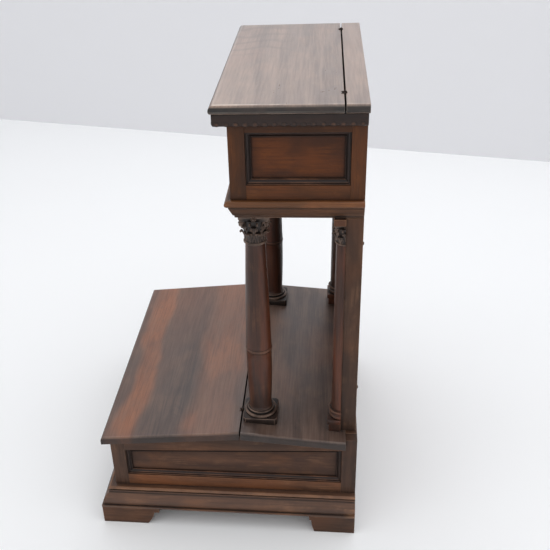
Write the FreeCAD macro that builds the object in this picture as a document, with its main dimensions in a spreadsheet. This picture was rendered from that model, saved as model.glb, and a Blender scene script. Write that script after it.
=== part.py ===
import FreeCAD, Part
import os
import re
import Sketcher
from FreeCAD import Vector

# Kneeling stand in dark wood: a low chest with a hinged, sloping kneeling board, two turned
# columns and two half columns on posts, and a shallow desk box with a hinged lid on top.
# Frame: X is the width, -Y is the front where a person kneels, +Z is up. The origin is on the
# floor under the middle of the plinth. Every size is in millimetres.

SIZES = {
    # plinth and feet
    "half_width": 296,
    "half_depth": 256,
    "foot_height": 42,
    "foot_plate": 24,
    "foot_front_length": 118,
    "foot_front_lip": 10,
    "foot_front_toe": 16,
    "foot_rear_length": 90,
    "foot_rear_lip": 4,
    "foot_rear_toe": 6,
    "foot_lip_height": 31,
    "plinth_top": 83,
    "plinth_reach": 28,
    "plinth_fillet": 4,
    "plinth_ovolo_bottom": 24,
    "plinth_ovolo_swell": 22,
    "plinth_ovolo_middle": 18,
    "plinth_ovolo_top": 13,
    "plinth_ovolo_height": 28,
    "plinth_quirk_height": 33,
    "bead_neck": 9,
    "bead_tip": 13,
    # lower chest
    "chest_board": 20,
    "chest_stile": 28.5,
    "chest_rail_top": 108.5,
    "chest_panel_front_height": 172.5,
    "chest_panel_rear_height": 191.5,
    "front_panel_height": 172.5,
    "bottom_board": 12,
    "back_board": 16,
    "ledge": 22,
    "ledge_height": 219.5,
    "rear_rail": 25,
    # kneeling board and the fixed board behind it
    "top_half": 280,
    "board": 15,
    "kneeler_front": -242,
    "kneeler_front_height": 211.5,
    "ridge": 33,
    "ridge_height": 236.5,
    "gap": 1.5,
    "top_rounding": 6,
    # panels and the mouldings round them
    "panel_thickness": 8,
    "panel_set_back": 10,
    "panel_moulding": 9.5,
    "panel_moulding_height": 8,
    "panel_moulding_rounding": 5,
    # front columns
    "column_side": 213,
    "column_line": 70,
    "plinth_block": 33,
    "plinth_block_cut": 5,
    "torus_radius": 31,
    "column_plinth_top": 245.5,
    "column_base_top": 258,
    "column_ring": 395,
    "shaft_bottom_radius": 21,
    "shaft_swell_radius": 23.2,
    "shaft_ring_radius": 23.6,
    "ring_radius": 24.6,
    "ring_half_height": 3,
    "taper_swell": 0.6,
    "flare_reach": 1.5,
    "flare_hollow": 0.3,
    "flare_middle": 4,
    "flare_height": 9,
    "shaft_top_radius": 17.4,
    "capital_bottom": 617,
    "soffit": 675,
    "abacus": 27,
    "abacus_height": 8,
    "abacus_hollow": 4,
    # turned bases and capitals, as reach beyond the shaft
    "lower_torus": 4,
    "upper_torus": 5,
    "torus_neck": 3,
    "base_hollow": 2,
    "base_fillet": 1.5,
    "neck_ring": 2.5,
    "neck_ring_height": 5,
    "bell_foot": 1,
    "bell_swell": 2,
    "bell_margin": 3,
    # half columns and posts at the back
    "half_column_side": 226,
    "post_front": 224,
    "post_rear": 253,
    "post_inner": 208,
    "post_outer": 240,
    "post_rebate": 12,
    "block_half": 20,
    "block_reach": 22,
    "half_plinth_bottom": 240,
    "half_plinth_top": 250,
    "half_plinth_half": 22,
    "half_plinth_reach": 25,
    "half_base_top": 270,
    "half_shaft_bottom_radius": 18,
    "half_shaft_top_radius": 15.5,
    "half_capital_bottom": 624,
    "impost_bottom": 663,
    "impost_set_back": 2,
    "nail_side": 214,
    "nail_low": 306,
    "nail_high": 615,
    "nail_head_radius": 5,
    "nail_tip_radius": 2,
    "nail_shank_radius": 1.6,
    # desk box
    "box_half": 244,
    "box_front": 34,
    "box_board": 18,
    "cornice_board": 24,
    "cornice_top": 710,
    "cornice_tip": 10,
    "cornice_neck": 4,
    "cornice_step": 5,
    "cornice_cove_middle": 11,
    "cornice_cove_top": 20,
    "cornice_torus_bottom": 698,
    "box_stile_front": 27,
    "box_stile_rear": 24,
    "box_rail_top": 735.5,
    "box_rail_bottom": 825.5,
    "box_floor": 12,
    "box_back": 14,
    "strip_bottom": 839.5,
    "strip_side_reach": 14,
    "strip_front_reach": 22,
    "strip_rounding": 5,
    "lid_bottom": 860,
    "lid_top": 875,
    "lid_half": 262,
    "lid_front": 8,
    "desk_gap_line": 217.5,
    "lid_rear": 255,
    "lid_rounding": 8.5,
    "lid_lower_rounding": 6,
    # wire hinges
    "kneeler_hinge_side": 208,
    "desk_hinge_side": 202,
    "eye_outer": 3.4,
    "eye_hole": 1.7,
    "eye_half_width": 1.4,
    "eye_clearance": 0.6,
    "pin_radius": 1.3,
    "loop_half": 3.8,
    "loop_length": 5.2,
    "loop_leg": 9,
    "shank_length": 20,
    "shank_top": 1.8,
    "shank_bottom": 3.3,
    "notch": 4.6,
    "pin_notch": 2.2,
    # cutters run past the wood by this much
    "spare": 1,
}

# heights and places that follow from the sizes
CHEST_HALF = "(half_width - plinth_reach)"
CHEST_INNER = "(half_width - plinth_reach - chest_board)"
CHEST_FRONT = "(plinth_reach - half_depth)"
KNEELER_SLOPE = "((ridge_height - kneeler_front_height) / (ridge - kneeler_front))"
REAR_SLOPE = "((ridge_height - ledge_height) / (half_depth - ledge - ridge))"
BOX_INNER = "(box_half - box_board)"

# heights of the steps of a turned base, as shares of its rise
LOWER_TORUS_TOP = 0.44
UPPER_TORUS_BOTTOM = 0.68
UPPER_TORUS_TOP = 0.92

# two places closer than this are one place, in millimetres
TOLERANCE = 0.01

doc = FreeCAD.newDocument("kneeling_stand")
sheet = doc.addObject("Spreadsheet::Sheet", "sizes")
subparts = []


def fill_sheet():
    """Write each driving size into its own cell and name the cell."""
    for row, (name, size) in enumerate(SIZES.items(), start=1):
        sheet.set("A%d" % row, name)
        sheet.set("B%d" % row, str(size))
        sheet.setAlias("B%d" % row, name)
    doc.recompute()


def cell(formula):
    """Point every size named in a formula at its cell of the sheet."""
    def reference(match):
        word = match.group()
        return "sizes." + word if word in SIZES else word
    return re.sub(r"[a-z_]+", reference, formula)


def value(formula):
    """The number that a formula gives now."""
    return float(sheet.evalExpression(cell(formula)))


def bind(item, prop, formula):
    item.setExpression(prop, cell(formula))


def keep(item, label):
    """Give a finished sub-part its name and list it for export."""
    item.Label = label
    subparts.append(item)
    return item


def on_kneeler(across):
    """Height of the kneeling board's top surface at a place along Y."""
    return "(ridge_height - (ridge - (%s)) * %s)" % (across, KNEELER_SLOPE)


def on_rear_board(across):
    """Height of the fixed board's top surface at a place along Y."""
    return "(ridge_height - ((%s) - ridge) * %s)" % (across, REAR_SLOPE)


# ---------------------------------------------------------------- drawing helpers

def nearest_end(sketch, edge, point):
    """1 where the edge starts at the point, 2 where it ends there."""
    gaps = [sketch.getPoint(edge, end).distanceToPoint(point) for end in (1, 2)]
    return 1 + gaps.index(min(gaps))


def fix_point(sketch, geometry, end, place):
    """Hold a point at a place given by two formulas."""
    for kind, formula in zip(("DistanceX", "DistanceY"), place):
        index = sketch.addConstraint(
            Sketcher.Constraint(kind, -1, 1, geometry, end, value(formula)))
        bind(sketch, "Constraints[%d]" % index, formula)


def outline(body, role, offset, corners):
    """Closed outline on one of the body's own planes. A corner is two formulas; with four,
    an arc runs from it to the next corner through the second pair."""
    sketch = body.newObject("Sketcher::SketchObject", body.Name + "_outline")
    plane = [item for item in body.Origin.OriginFeatures if item.Role == role][0]
    sketch.AttachmentSupport = [(plane, "")]
    sketch.MapMode = "FlatFace"
    bind(sketch, "AttachmentOffset.Base.z", offset)
    points = [Vector(value(corner[0]), value(corner[1]), 0) for corner in corners]
    following = points[1:] + points[:1]
    for corner, start, end in zip(corners, points, following):
        if len(corner) == 2:
            sketch.addGeometry(Part.LineSegment(start, end))
        else:
            middle = Vector(value(corner[2]), value(corner[3]), 0)
            sketch.addGeometry(Part.Arc(start, middle, end))
    count = len(corners)
    for edge, corner in enumerate(corners):
        after = (edge + 1) % count
        leaving = nearest_end(sketch, edge, following[edge])
        arriving = nearest_end(sketch, after, points[after])
        sketch.addConstraint(Sketcher.Constraint("Coincident", edge, leaving, after, arriving))
        fix_point(sketch, edge, nearest_end(sketch, edge, points[edge]), corner[:2])
    for edge, corner in enumerate(corners):
        if len(corner) == 4:
            middle = Vector(value(corner[2]), value(corner[3]), 0)
            mark = sketch.addGeometry(Part.Point(middle), True)
            sketch.addConstraint(Sketcher.Constraint("PointOnObject", mark, 1, edge))
            fix_point(sketch, mark, 1, corner[2:])
    return sketch


def new_body(name):
    return doc.addObject("PartDesign::Body", name)


def pad(body, sketch, length):
    """Thicken an outline along its plane's normal."""
    feature = body.newObject("PartDesign::Pad", body.Name + "_pad")
    feature.Profile = sketch
    bind(feature, "Length", length)
    return feature


def pocket(body, sketch):
    """Cut an outline right through the body, both ways."""
    feature = body.newObject("PartDesign::Pocket", body.Name + "_pocket")
    feature.Profile = sketch
    feature.Type = "ThroughAll"
    feature.Midplane = True
    return feature


def revolve(body, sketch, angle=360, reverse=False):
    """Turn an outline about its sketch's vertical axis."""
    feature = body.newObject("PartDesign::Revolution", body.Name + "_turned")
    feature.Profile = sketch
    feature.ReferenceAxis = (sketch, ["V_Axis"])
    feature.Angle = angle
    feature.Reversed = reverse
    return feature


def round_edges(body, radius, wanted):
    """Round the edges of the body's last feature whose middle passes a test."""
    doc.recompute()
    base = body.Tip
    names = []
    for number, edge in enumerate(base.Shape.Edges, start=1):
        middle = edge.valueAt((edge.FirstParameter + edge.LastParameter) / 2)
        if wanted(edge, middle):
            names.append("Edge%d" % number)
    feature = body.newObject("PartDesign::Fillet", body.Name + "_rounding")
    feature.Base = (base, names)
    bind(feature, "Radius", radius)
    return feature


def mirrored(source, name):
    """The same piece on the left side."""
    item = doc.addObject("Part::Mirroring", name)
    item.Source = source
    item.Base = Vector(0, 0, 0)
    item.Normal = Vector(1, 0, 0)
    return item


def pair(source, name):
    """Keep a piece on the right side and its mirror image on the left."""
    keep(source, name + "_right")
    keep(mirrored(source, name + "_left"), name + "_left")


def both(name, source):
    """Keep a small block and its mirror image as one sub-part of two solids."""
    keep(join(name, [source, mirrored(source, name + "_mirror")]), name)


def move(item, place):
    """Bind the three coordinates of an object's placement."""
    for axis, formula in zip("xyz", place):
        bind(item, "Placement.Base." + axis, formula)
    return item


def block(name, low, high):
    """Plain box between two corners given as formulas."""
    item = doc.addObject("Part::Box", name)
    for prop, start, end in zip(("Length", "Width", "Height"), low, high):
        bind(item, prop, "(%s) - (%s)" % (end, start))
    return move(item, low)


def rod(name, radius, length, place, turn_axis, turn):
    """Cylinder from a place, turned from +Z by an angle about an axis."""
    item = doc.addObject("Part::Cylinder", name)
    bind(item, "Radius", radius)
    bind(item, "Height", length)
    item.Placement = FreeCAD.Placement(Vector(0, 0, 0), FreeCAD.Rotation(turn_axis, turn))
    return move(item, place)


def join(name, items):
    """Several shapes as one, or one node of separate solids where they don't meet."""
    item = doc.addObject("Part::MultiFuse", name)
    item.Shapes = items
    return item


def cut(name, base, tool):
    item = doc.addObject("Part::Cut", name)
    item.Base = base
    item.Tool = tool
    return item


def rectangle(left, right, low, high):
    return [(left, low), (right, low), (right, high), (left, high)]


# ---------------------------------------------------------------- feet and plinth

def bracket(outer, name, toward):
    """One leaf of a bracket foot in elevation: its bottom runs in from the outer edge, then a
    hollow toe rises to a small lip."""
    def inward(distance):
        return "(%s) %s (%s)" % (outer, toward, distance)
    length = name + "_length"
    lip = "%s_length - %s_lip" % (name, name)
    toe = "%s - %s_toe" % (lip, name)
    return [
        (outer, "0"),
        (inward(toe), "0",
         inward("%s - %s_toe / 3" % (lip, name)), "foot_lip_height / 2"),
        (inward(lip), "foot_lip_height"),
        (inward(length), "foot_lip_height"),
        (inward(length), "foot_height"),
        (outer, "foot_height"),
    ]


def foot(name, front):
    """Bracket foot of two leaves that meet at the corner of the plinth."""
    body = new_body(name)
    edge = "-half_depth" if front else "half_depth"
    toward = "+" if front else "-"
    side = outline(body, "YZ_Plane", "half_width - foot_plate",
                   bracket(edge, name, toward))
    pad(body, side, "foot_plate")
    across = outline(body, "XZ_Plane", "half_depth - foot_plate" if front else "-half_depth",
                     bracket("half_width", name, "-"))
    pad(body, across, "foot_plate")
    pair(body, name)


def plinth_profile():
    """Plinth moulding in section, as reach beyond the chest and height."""
    return [
        ("-chest_board", "foot_height"),
        ("plinth_reach", "foot_height"),
        ("plinth_reach", "foot_height + plinth_fillet"),
        ("plinth_ovolo_bottom", "foot_height + plinth_fillet",
         "plinth_ovolo_swell", "foot_height + plinth_ovolo_middle"),
        ("plinth_ovolo_top", "foot_height + plinth_ovolo_height"),
        ("plinth_ovolo_top", "foot_height + plinth_quirk_height"),
        ("bead_neck", "foot_height + plinth_quirk_height",
         "bead_tip", "(foot_height + plinth_quirk_height + plinth_top) / 2"),
        ("bead_neck", "plinth_top"),
        ("-chest_board", "plinth_top"),
    ]


def cornice_profile():
    """Moulding under the desk box in section, as reach beyond the box and height."""
    return [
        ("-cornice_board", "soffit"),
        ("-cornice_step", "soffit"),
        ("-cornice_step", "soffit + cornice_step"),
        ("-cornice_step / 2", "soffit + cornice_step",
         "0", "soffit + cornice_cove_middle"),
        ("cornice_neck", "soffit + cornice_cove_top"),
        ("cornice_neck", "cornice_torus_bottom",
         "cornice_tip", "(cornice_torus_bottom + cornice_top) / 2"),
        ("cornice_neck", "cornice_top"),
        ("-cornice_board", "cornice_top"),
    ]


def placed(profile, formula):
    """A moulding's section with each reach turned into a coordinate."""
    section = []
    for corner in profile:
        spots = list(corner)
        for index in range(0, len(spots), 2):
            spots[index] = formula % spots[index]
        section.append(tuple(spots))
    return section


def run_of_moulding(name, profile, half, front, rear, reach, inner):
    """A moulding that goes round the front and both sides, mitred at the front corners."""
    ahead = new_body(name + "_front")
    section = placed(profile, "%s - (%%s)" % front)
    pad(ahead, outline(ahead, "YZ_Plane", "-%s - (%s)" % (half, reach), section),
        "2 * (%s + (%s))" % (half, reach))
    for side in ("", "-"):
        waste = [
            ("%s(%s + (%s) + spare)" % (side, half, reach), "%s - (%s) - spare" % (front, reach)),
            ("%s(%s + (%s) + spare)" % (side, half, reach), "%s + (%s)" % (front, inner)),
            ("%s(%s - (%s))" % (side, half, inner), "%s + (%s)" % (front, inner)),
        ]
        pocket(ahead, outline(ahead, "XY_Plane", "0", waste))
    keep(ahead, name + "_front")
    side = new_body(name + "_side")
    section = placed(profile, "%s + (%%s)" % half)
    pad(side, outline(side, "XZ_Plane", "-(%s)" % rear, section),
        "%s - (%s) + (%s)" % (rear, front, reach))
    waste = [
        ("%s - (%s)" % (half, inner), "%s + (%s)" % (front, inner)),
        ("%s - (%s)" % (half, inner), "%s - (%s) - spare" % (front, reach)),
        ("%s + (%s) + spare" % (half, reach), "%s - (%s) - spare" % (front, reach)),
    ]
    pocket(side, outline(side, "XY_Plane", "0", waste))
    pair(side, name)


# ---------------------------------------------------------------- framed and panelled boards

def framed_board(name, role, face, outer, inner, thickness, keep_pair):
    """A frame with a sunk panel and a rounded moulding between the two. face is where the
    frame's outer face lies along the plane's normal; inner is the opening's outline."""
    frame = new_body(name + "_frame")
    pad(frame, outline(frame, role, "%s - %s" % (face, thickness), outer), thickness)
    pocket(frame, outline(frame, role, "%s - %s" % (face, thickness), inner))
    panel = new_body(name + "_panel")
    panel_face = "%s - panel_set_back" % face
    pad(panel, outline(panel, role, panel_face + " - panel_thickness", inner), "panel_thickness")
    ring = new_body(name + "_panel_moulding")
    pad(ring, outline(ring, role, panel_face, inner), "panel_moulding_height")
    pocket(ring, outline(ring, role, panel_face, shrunk(inner)))
    normal = 0 if role == "YZ_Plane" else 1
    top = abs(value("%s + panel_moulding_height" % panel_face))
    spots = [(value(a), value(b)) for a, b in shrunk(inner)]

    def inner_front_edge(edge, middle):
        along = [middle.x, middle.y]
        flat = (middle.y, middle.z) if normal == 0 else (middle.x, middle.z)
        return abs(abs(along[normal]) - top) < TOLERANCE and on_outline(flat, spots)

    round_edges(ring, "panel_moulding_rounding", inner_front_edge)
    for piece, label in ((frame, "_frame"), (panel, "_panel"), (ring, "_panel_moulding")):
        if keep_pair:
            pair(piece, name + label)
        else:
            keep(piece, name + "_front" + label)


def shrunk(inner):
    """The opening's outline moved in by the width of the panel moulding."""
    (left, low), (right, _), (_, rear_high), (_, front_high) = inner
    return [
        (left + " + panel_moulding", low + " + panel_moulding"),
        (right + " - panel_moulding", low + " + panel_moulding"),
        (right + " - panel_moulding", rear_high + " - panel_moulding"),
        (left + " + panel_moulding", front_high + " - panel_moulding"),
    ]


def on_outline(spot, corners):
    """Whether a point lies on one of an outline's straight edges."""
    target = Vector(spot[0], spot[1], 0)
    for start, end in zip(corners, corners[1:] + corners[:1]):
        line = Part.LineSegment(Vector(start[0], start[1], 0), Vector(end[0], end[1], 0))
        if line.toShape().distToShape(Part.Vertex(target))[0] < TOLERANCE:
            return True
    return False


def lower_chest():
    """Sides, front, floor and back of the chest under the kneeling board."""
    rear = "half_depth"
    front_top = on_kneeler(CHEST_FRONT) + " - board"
    side = [
        (CHEST_FRONT, "plinth_top"),
        (rear, "plinth_top"),
        (rear, "ledge_height"),
        (rear + " - ledge", "ledge_height"),
        (rear + " - ledge", "ledge_height - board"),
        ("ridge", "ridge_height - board"),
        (CHEST_FRONT, front_top),
    ]
    opening = [
        (CHEST_FRONT + " + chest_stile", "chest_rail_top"),
        (rear + " - chest_stile", "chest_rail_top"),
        (rear + " - chest_stile", "chest_panel_rear_height"),
        (CHEST_FRONT + " + chest_stile", "chest_panel_front_height"),
    ]
    framed_board("chest", "YZ_Plane", CHEST_HALF, side, opening, "chest_board", True)
    face = "-" + CHEST_FRONT
    front = rectangle("-" + CHEST_INNER, CHEST_INNER, "plinth_top", front_top)
    window = rectangle("chest_stile - " + CHEST_INNER, CHEST_INNER + " - chest_stile",
                       "chest_rail_top", "front_panel_height")
    framed_board("chest", "XZ_Plane", face, front, window, "chest_board", False)
    keep(block("floor", ("-" + CHEST_INNER, CHEST_FRONT + " + chest_board", "plinth_top"),
               (CHEST_INNER, "half_depth - back_board", "plinth_top + bottom_board")),
         "chest_bottom_board")
    keep(block("back", ("-" + CHEST_INNER, "half_depth - back_board", "foot_height"),
               (CHEST_INNER, "half_depth", "ledge_height - rear_rail")),
         "chest_back_board")
    keep(block("rail", ("-" + CHEST_INNER, "half_depth - ledge", "ledge_height - rear_rail"),
               (CHEST_INNER, "half_depth", "ledge_height")),
         "chest_rear_rail")


# ---------------------------------------------------------------- wire hinges

def eye(name, side, line, height):
    """Iron eye: a ring round the hinge line and a shank that runs back into the wood."""
    ring = rod(name + "_ring", "eye_outer", "2 * eye_half_width",
               (side + " - eye_half_width", line, height), Vector(0, 1, 0), 90)
    shank = block(name + "_shank",
                  (side + " - eye_half_width", line, height + " - shank_bottom"),
                  (side + " + eye_half_width", line + " + shank_length",
                   height + " - shank_top"))
    hole = rod(name + "_hole", "eye_hole", "4 * eye_half_width",
               (side + " - 2 * eye_half_width", line, height), Vector(0, 1, 0), 90)
    return cut(name, join(name + "_blank", [ring, shank]), hole)


def loop(name, side, line, height, tilt):
    """Iron staple: a round bar on the hinge line, two arms along the lid and two legs down
    into it. Built at the origin, then tilted with the lid and moved to the hinge line."""
    bar = rod(name + "_bar", "pin_radius", "2 * loop_half",
              ("-loop_half", "0", "0"), Vector(0, 1, 0), 90)
    pieces = [bar]
    for end, sign in (("a", "-"), ("b", "")):
        pieces.append(rod(name + "_arm_" + end, "pin_radius", "loop_length",
                          (sign + "loop_half", "0", "0"), Vector(1, 0, 0), 90))
        pieces.append(rod(name + "_leg_" + end, "pin_radius", "loop_leg",
                          (sign + "loop_half", "-loop_length", "0"), Vector(1, 0, 0), 180))
    item = join(name, pieces)
    item.Placement = FreeCAD.Placement(Vector(0, 0, 0), FreeCAD.Rotation(Vector(1, 0, 0), 0))
    bind(item, "Placement.Rotation.Angle", "atan(%s)" % tilt)
    return move(item, (side, line, height))


def hinge_pair(name, side, line, height, tilt):
    """Both hinges of one lid, as eyes on the fixed board and loops on the lid."""
    eyes = []
    loops = []
    for hand, sign in (("right", ""), ("left", "-")):
        eyes.append(eye("%s_eye_%s" % (name, hand), sign + side, line, height))
        loops.append(loop("%s_loop_%s" % (name, hand), sign + side, line, height, tilt))
    keep(join(name + "_eyes", eyes), name + "_hinge_eyes")
    keep(join(name + "_loops", loops), name + "_hinge_loops")
    return eyes, loops


def lid_notches(name, side, line, height):
    """Room in the lid's back edge for the ring of each eye."""
    cutters = []
    for hand, sign in (("right", ""), ("left", "-")):
        middle = sign + side
        cutters.append(block("%s_lid_notch_%s" % (name, hand),
                             (middle + " - notch / 2", line + " - notch", height + " - notch"),
                             (middle + " + notch / 2", line, height + " + notch")))
    return cutters


def fixed_notches(name, side, line, height):
    """Room in the fixed board's edge for the ring of each eye and for the turning bar."""
    cutters = []
    for hand, sign in (("right", ""), ("left", "-")):
        middle = sign + side
        cutters.append(block("%s_ring_notch_%s" % (name, hand),
                             (middle + " - notch / 2", line, height + " - notch"),
                             (middle + " + notch / 2", line + " + eye_outer + eye_clearance",
                              height + " + notch")))
        cutters.append(block("%s_bar_notch_%s" % (name, hand),
                             (middle + " - loop_half - pin_notch", line, height + " - pin_notch"),
                             (middle + " + loop_half + pin_notch", line + " + pin_notch",
                              height + " + notch")))
    return cutters


# ---------------------------------------------------------------- kneeling board and fixed board

def kneeler_top():
    """The hinged kneeling board, the fixed board behind it, and the hinges between them."""
    eyes, loops = hinge_pair("kneeler", "kneeler_hinge_side", "ridge", "ridge_height",
                             KNEELER_SLOPE)
    lid = new_body("kneeler_board")
    back = "ridge - gap"
    pad(lid, outline(lid, "YZ_Plane", "-top_half", [
        ("kneeler_front", "kneeler_front_height - board"),
        (back, on_kneeler(back) + " - board"),
        (back, on_kneeler(back)),
        ("kneeler_front", "kneeler_front_height"),
    ]), "2 * top_half")
    half = value("top_half")
    front = value("kneeler_front")
    front_height = value("kneeler_front_height")

    def top_edge(edge, middle):
        at_side = abs(abs(middle.x) - half) < TOLERANCE and edge.Length > half / 2
        at_side = at_side and middle.z > value(on_kneeler("%f" % middle.y)) - 1
        at_front = abs(middle.y - front) < TOLERANCE and abs(middle.z - front_height) < TOLERANCE
        return at_side or at_front

    round_edges(lid, "top_rounding", top_edge)
    notches = lid_notches("kneeler", "kneeler_hinge_side", "ridge", "ridge_height")
    keep(cut("kneeler_lid_cut", lid, join("kneeler_lid_waste", notches + loops)), "kneeler_lid")
    fixed = new_body("fixed_board")
    start = "ridge + gap"
    pad(fixed, outline(fixed, "YZ_Plane", "-top_half", [
        (start, on_rear_board(start) + " - board"),
        ("half_depth - ledge", "ledge_height - board"),
        ("half_depth - ledge", "ledge_height"),
        (start, on_rear_board(start)),
    ]), "2 * top_half")

    def side_edge(edge, middle):
        at_side = abs(abs(middle.x) - half) < TOLERANCE and edge.Length > half / 2
        return at_side and middle.z > value(on_rear_board("%f" % middle.y)) - 1

    round_edges(fixed, "top_rounding", side_edge)
    waste = fixed_notches("kneeler", "kneeler_hinge_side", "ridge", "ridge_height")
    keep(cut("fixed_board_cut", fixed, join("fixed_board_waste", waste + eyes)),
         "chest_fixed_top")


# ---------------------------------------------------------------- columns

def column_base():
    """Cut-cornered block that fits the slope below it, with a torus, a hollow and a smaller
    torus above."""
    body = new_body("column_base")
    left, right = "column_side - plinth_block", "column_side + plinth_block"
    near, far = "column_line - plinth_block", "column_line + plinth_block"
    pad(body, outline(body, "XY_Plane", "ledge_height", [
        (left + " + plinth_block_cut", near),
        (right + " - plinth_block_cut", near),
        (right, near + " + plinth_block_cut"),
        (right, far + " - plinth_block_cut"),
        (right + " - plinth_block_cut", far),
        (left + " + plinth_block_cut", far),
        (left, far + " - plinth_block_cut"),
        (left, near + " + plinth_block_cut"),
    ]), "column_plinth_top - ledge_height")
    turned(body, "column_side", "column_line", base_profile(
        "torus_radius", "shaft_bottom_radius", "column_plinth_top", "column_base_top"))
    pocket(body, outline(body, "YZ_Plane", "0", [
        (near + " - spare", "plinth_top"),
        (far + " + spare", "plinth_top"),
        (far + " + spare", on_rear_board(far + " + spare")),
        (near + " - spare", on_rear_board(near + " - spare")),
    ]))
    pair(body, "column_base")


def base_profile(outer, shaft, low, high):
    """Turned base in section, as radius and height."""
    def at(share):
        return "(%s) + ((%s) - (%s)) * %s" % (low, high, low, share)

    neck = shaft + " + torus_neck"
    return [
        ("0", low),
        (outer + " - lower_torus", low, outer, at(LOWER_TORUS_TOP / 2)),
        (outer + " - lower_torus", at(LOWER_TORUS_TOP)),
        (neck, at(LOWER_TORUS_TOP),
         shaft + " + base_hollow", at((LOWER_TORUS_TOP + UPPER_TORUS_BOTTOM) / 2)),
        (neck, at(UPPER_TORUS_BOTTOM),
         shaft + " + upper_torus", at((UPPER_TORUS_BOTTOM + UPPER_TORUS_TOP) / 2)),
        (neck, at(UPPER_TORUS_TOP)),
        (shaft + " + base_fillet", at(UPPER_TORUS_TOP)),
        (shaft + " + base_fillet", high),
        ("0", high),
    ]


def turned(body, side, line, profile, angle=360, reverse=False):
    """Revolve a section of radius and height about a vertical line at side and line."""
    sketch = outline(body, "XZ_Plane", "-(%s)" % line, profile)
    bind(sketch, "AttachmentOffset.Base.x", side)
    return revolve(body, sketch, angle, reverse)


def column_shaft():
    """Turned shaft that swells to a thin ring and tapers to its neck."""
    body = new_body("column_shaft")
    turned(body, "column_side", "column_line", [
        ("0", "column_base_top"),
        ("shaft_bottom_radius + flare_reach", "column_base_top",
         "shaft_bottom_radius + flare_hollow", "column_base_top + flare_middle"),
        ("shaft_bottom_radius", "column_base_top + flare_height",
         "shaft_swell_radius", "(column_base_top + column_ring) / 2"),
        ("shaft_ring_radius", "column_ring - ring_half_height",
         "ring_radius", "column_ring"),
        ("shaft_ring_radius", "column_ring + ring_half_height",
         "(shaft_ring_radius + shaft_top_radius) / 2 + taper_swell",
         "(column_ring + capital_bottom) / 2"),
        ("shaft_top_radius", "capital_bottom"),
        ("0", "capital_bottom"),
    ])
    pair(body, "column_shaft")


def abacus(body, low, line):
    """Square top of the capital with hollow sides."""
    left, right = "column_side - abacus", "column_side + abacus"
    near, far = line + " - abacus", line + " + abacus"
    pad(body, outline(body, "XY_Plane", low, [
        (left, near, "column_side", near + " + abacus_hollow"),
        (right, near, right + " - abacus_hollow", line),
        (right, far, "column_side", far + " - abacus_hollow"),
        (left, far, left + " + abacus_hollow", line),
    ]), "abacus_height")


def bell_profile(low, high, neck, mouth):
    """Bell of a leafy capital: a neck ring, then a body that opens to the abacus."""
    return [
        ("0", low),
        (neck, low, neck + " + neck_ring", low + " + neck_ring_height / 2"),
        (neck, low + " + neck_ring_height"),
        (neck + " + bell_foot", low + " + neck_ring_height",
         neck + " + bell_swell", "((%s) + (%s)) / 2" % (low, high)),
        (mouth, high),
        ("0", high),
    ]


def capital():
    """Leafy capital: turned bell under a square abacus."""
    body = new_body("column_capital")
    turned(body, "column_side", "column_line",
           bell_profile("capital_bottom", "soffit - abacus_height", "shaft_top_radius",
                        "abacus - bell_margin"))
    abacus(body, "soffit - abacus_height", "column_line")
    pair(body, "column_capital")


def half_column():
    """Half-round column in front of each post: sloped packing block, base and shaft in one,
    capital, and a plain impost block."""
    side, line = "half_column_side", "post_front"
    packing = new_body("packing_block")
    pad(packing, outline(packing, "YZ_Plane", side + " - block_half", [
        (line + " - block_reach", on_rear_board(line + " - block_reach")),
        (line, on_rear_board(line)),
        (line, "half_plinth_bottom"),
        (line + " - block_reach", "half_plinth_bottom"),
    ]), "2 * block_half")
    both("half_column_blocks", packing)
    body = new_body("half_column")
    pad(body, outline(body, "XY_Plane", "half_plinth_bottom", rectangle(
        side + " - half_plinth_half", side + " + half_plinth_half",
        line + " - half_plinth_reach", line)), "half_plinth_top - half_plinth_bottom")
    turned(body, side, line, base_profile("half_plinth_half", "half_shaft_bottom_radius",
                                          "half_plinth_top", "half_base_top"), 180, True)
    turned(body, side, line, [
        ("0", "half_base_top"),
        ("half_shaft_bottom_radius", "half_base_top"),
        ("half_shaft_top_radius", "half_capital_bottom"),
        ("0", "half_capital_bottom"),
    ], 180, True)
    pair(body, "half_column")
    head = new_body("half_capital")
    turned(head, side, line, bell_profile("half_capital_bottom", "impost_bottom",
                                          "half_shaft_top_radius", "block_half"), 180, True)
    pair(head, "half_column_capital")
    both("half_column_imposts", block(
        "impost", (side + " - block_half", line + " - block_reach + impost_set_back",
                    "impost_bottom"),
        (side + " + block_half", line, "soffit")))


def back_posts():
    """Posts behind the half columns, with the nailed back panel in their rebates."""
    post = new_body("back_post")
    pad(post, outline(post, "YZ_Plane", "post_inner", [
        ("post_front", on_rear_board("post_front")),
        ("half_depth - ledge", "ledge_height"),
        ("post_rear", "ledge_height"),
        ("post_rear", "soffit"),
        ("post_front", "soffit"),
    ]), "post_outer - post_inner")
    pocket(post, outline(post, "XY_Plane", "0", rectangle(
        "post_inner - spare", "post_inner + post_rebate",
        "post_rear - post_rebate", "post_rear + spare")))
    pair(post, "back_post")
    nails = []
    for place, side, height in (("low_right", "nail_side", "nail_low"),
                                ("high_right", "nail_side", "nail_high"),
                                ("low_left", "-nail_side", "nail_low"),
                                ("high_left", "-nail_side", "nail_high")):
        nails.append(nail("nail_" + place, side, height))
    keep(join("nails", nails), "back_panel_nails")
    board = block("back_panel_board",
                  ("-post_inner - post_rebate", "post_rear - post_rebate", "ledge_height"),
                  ("post_inner + post_rebate", "post_rear", "soffit"))
    keep(cut("back_panel_cut", board, join("back_panel_holes", nails)), "back_panel")


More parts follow.
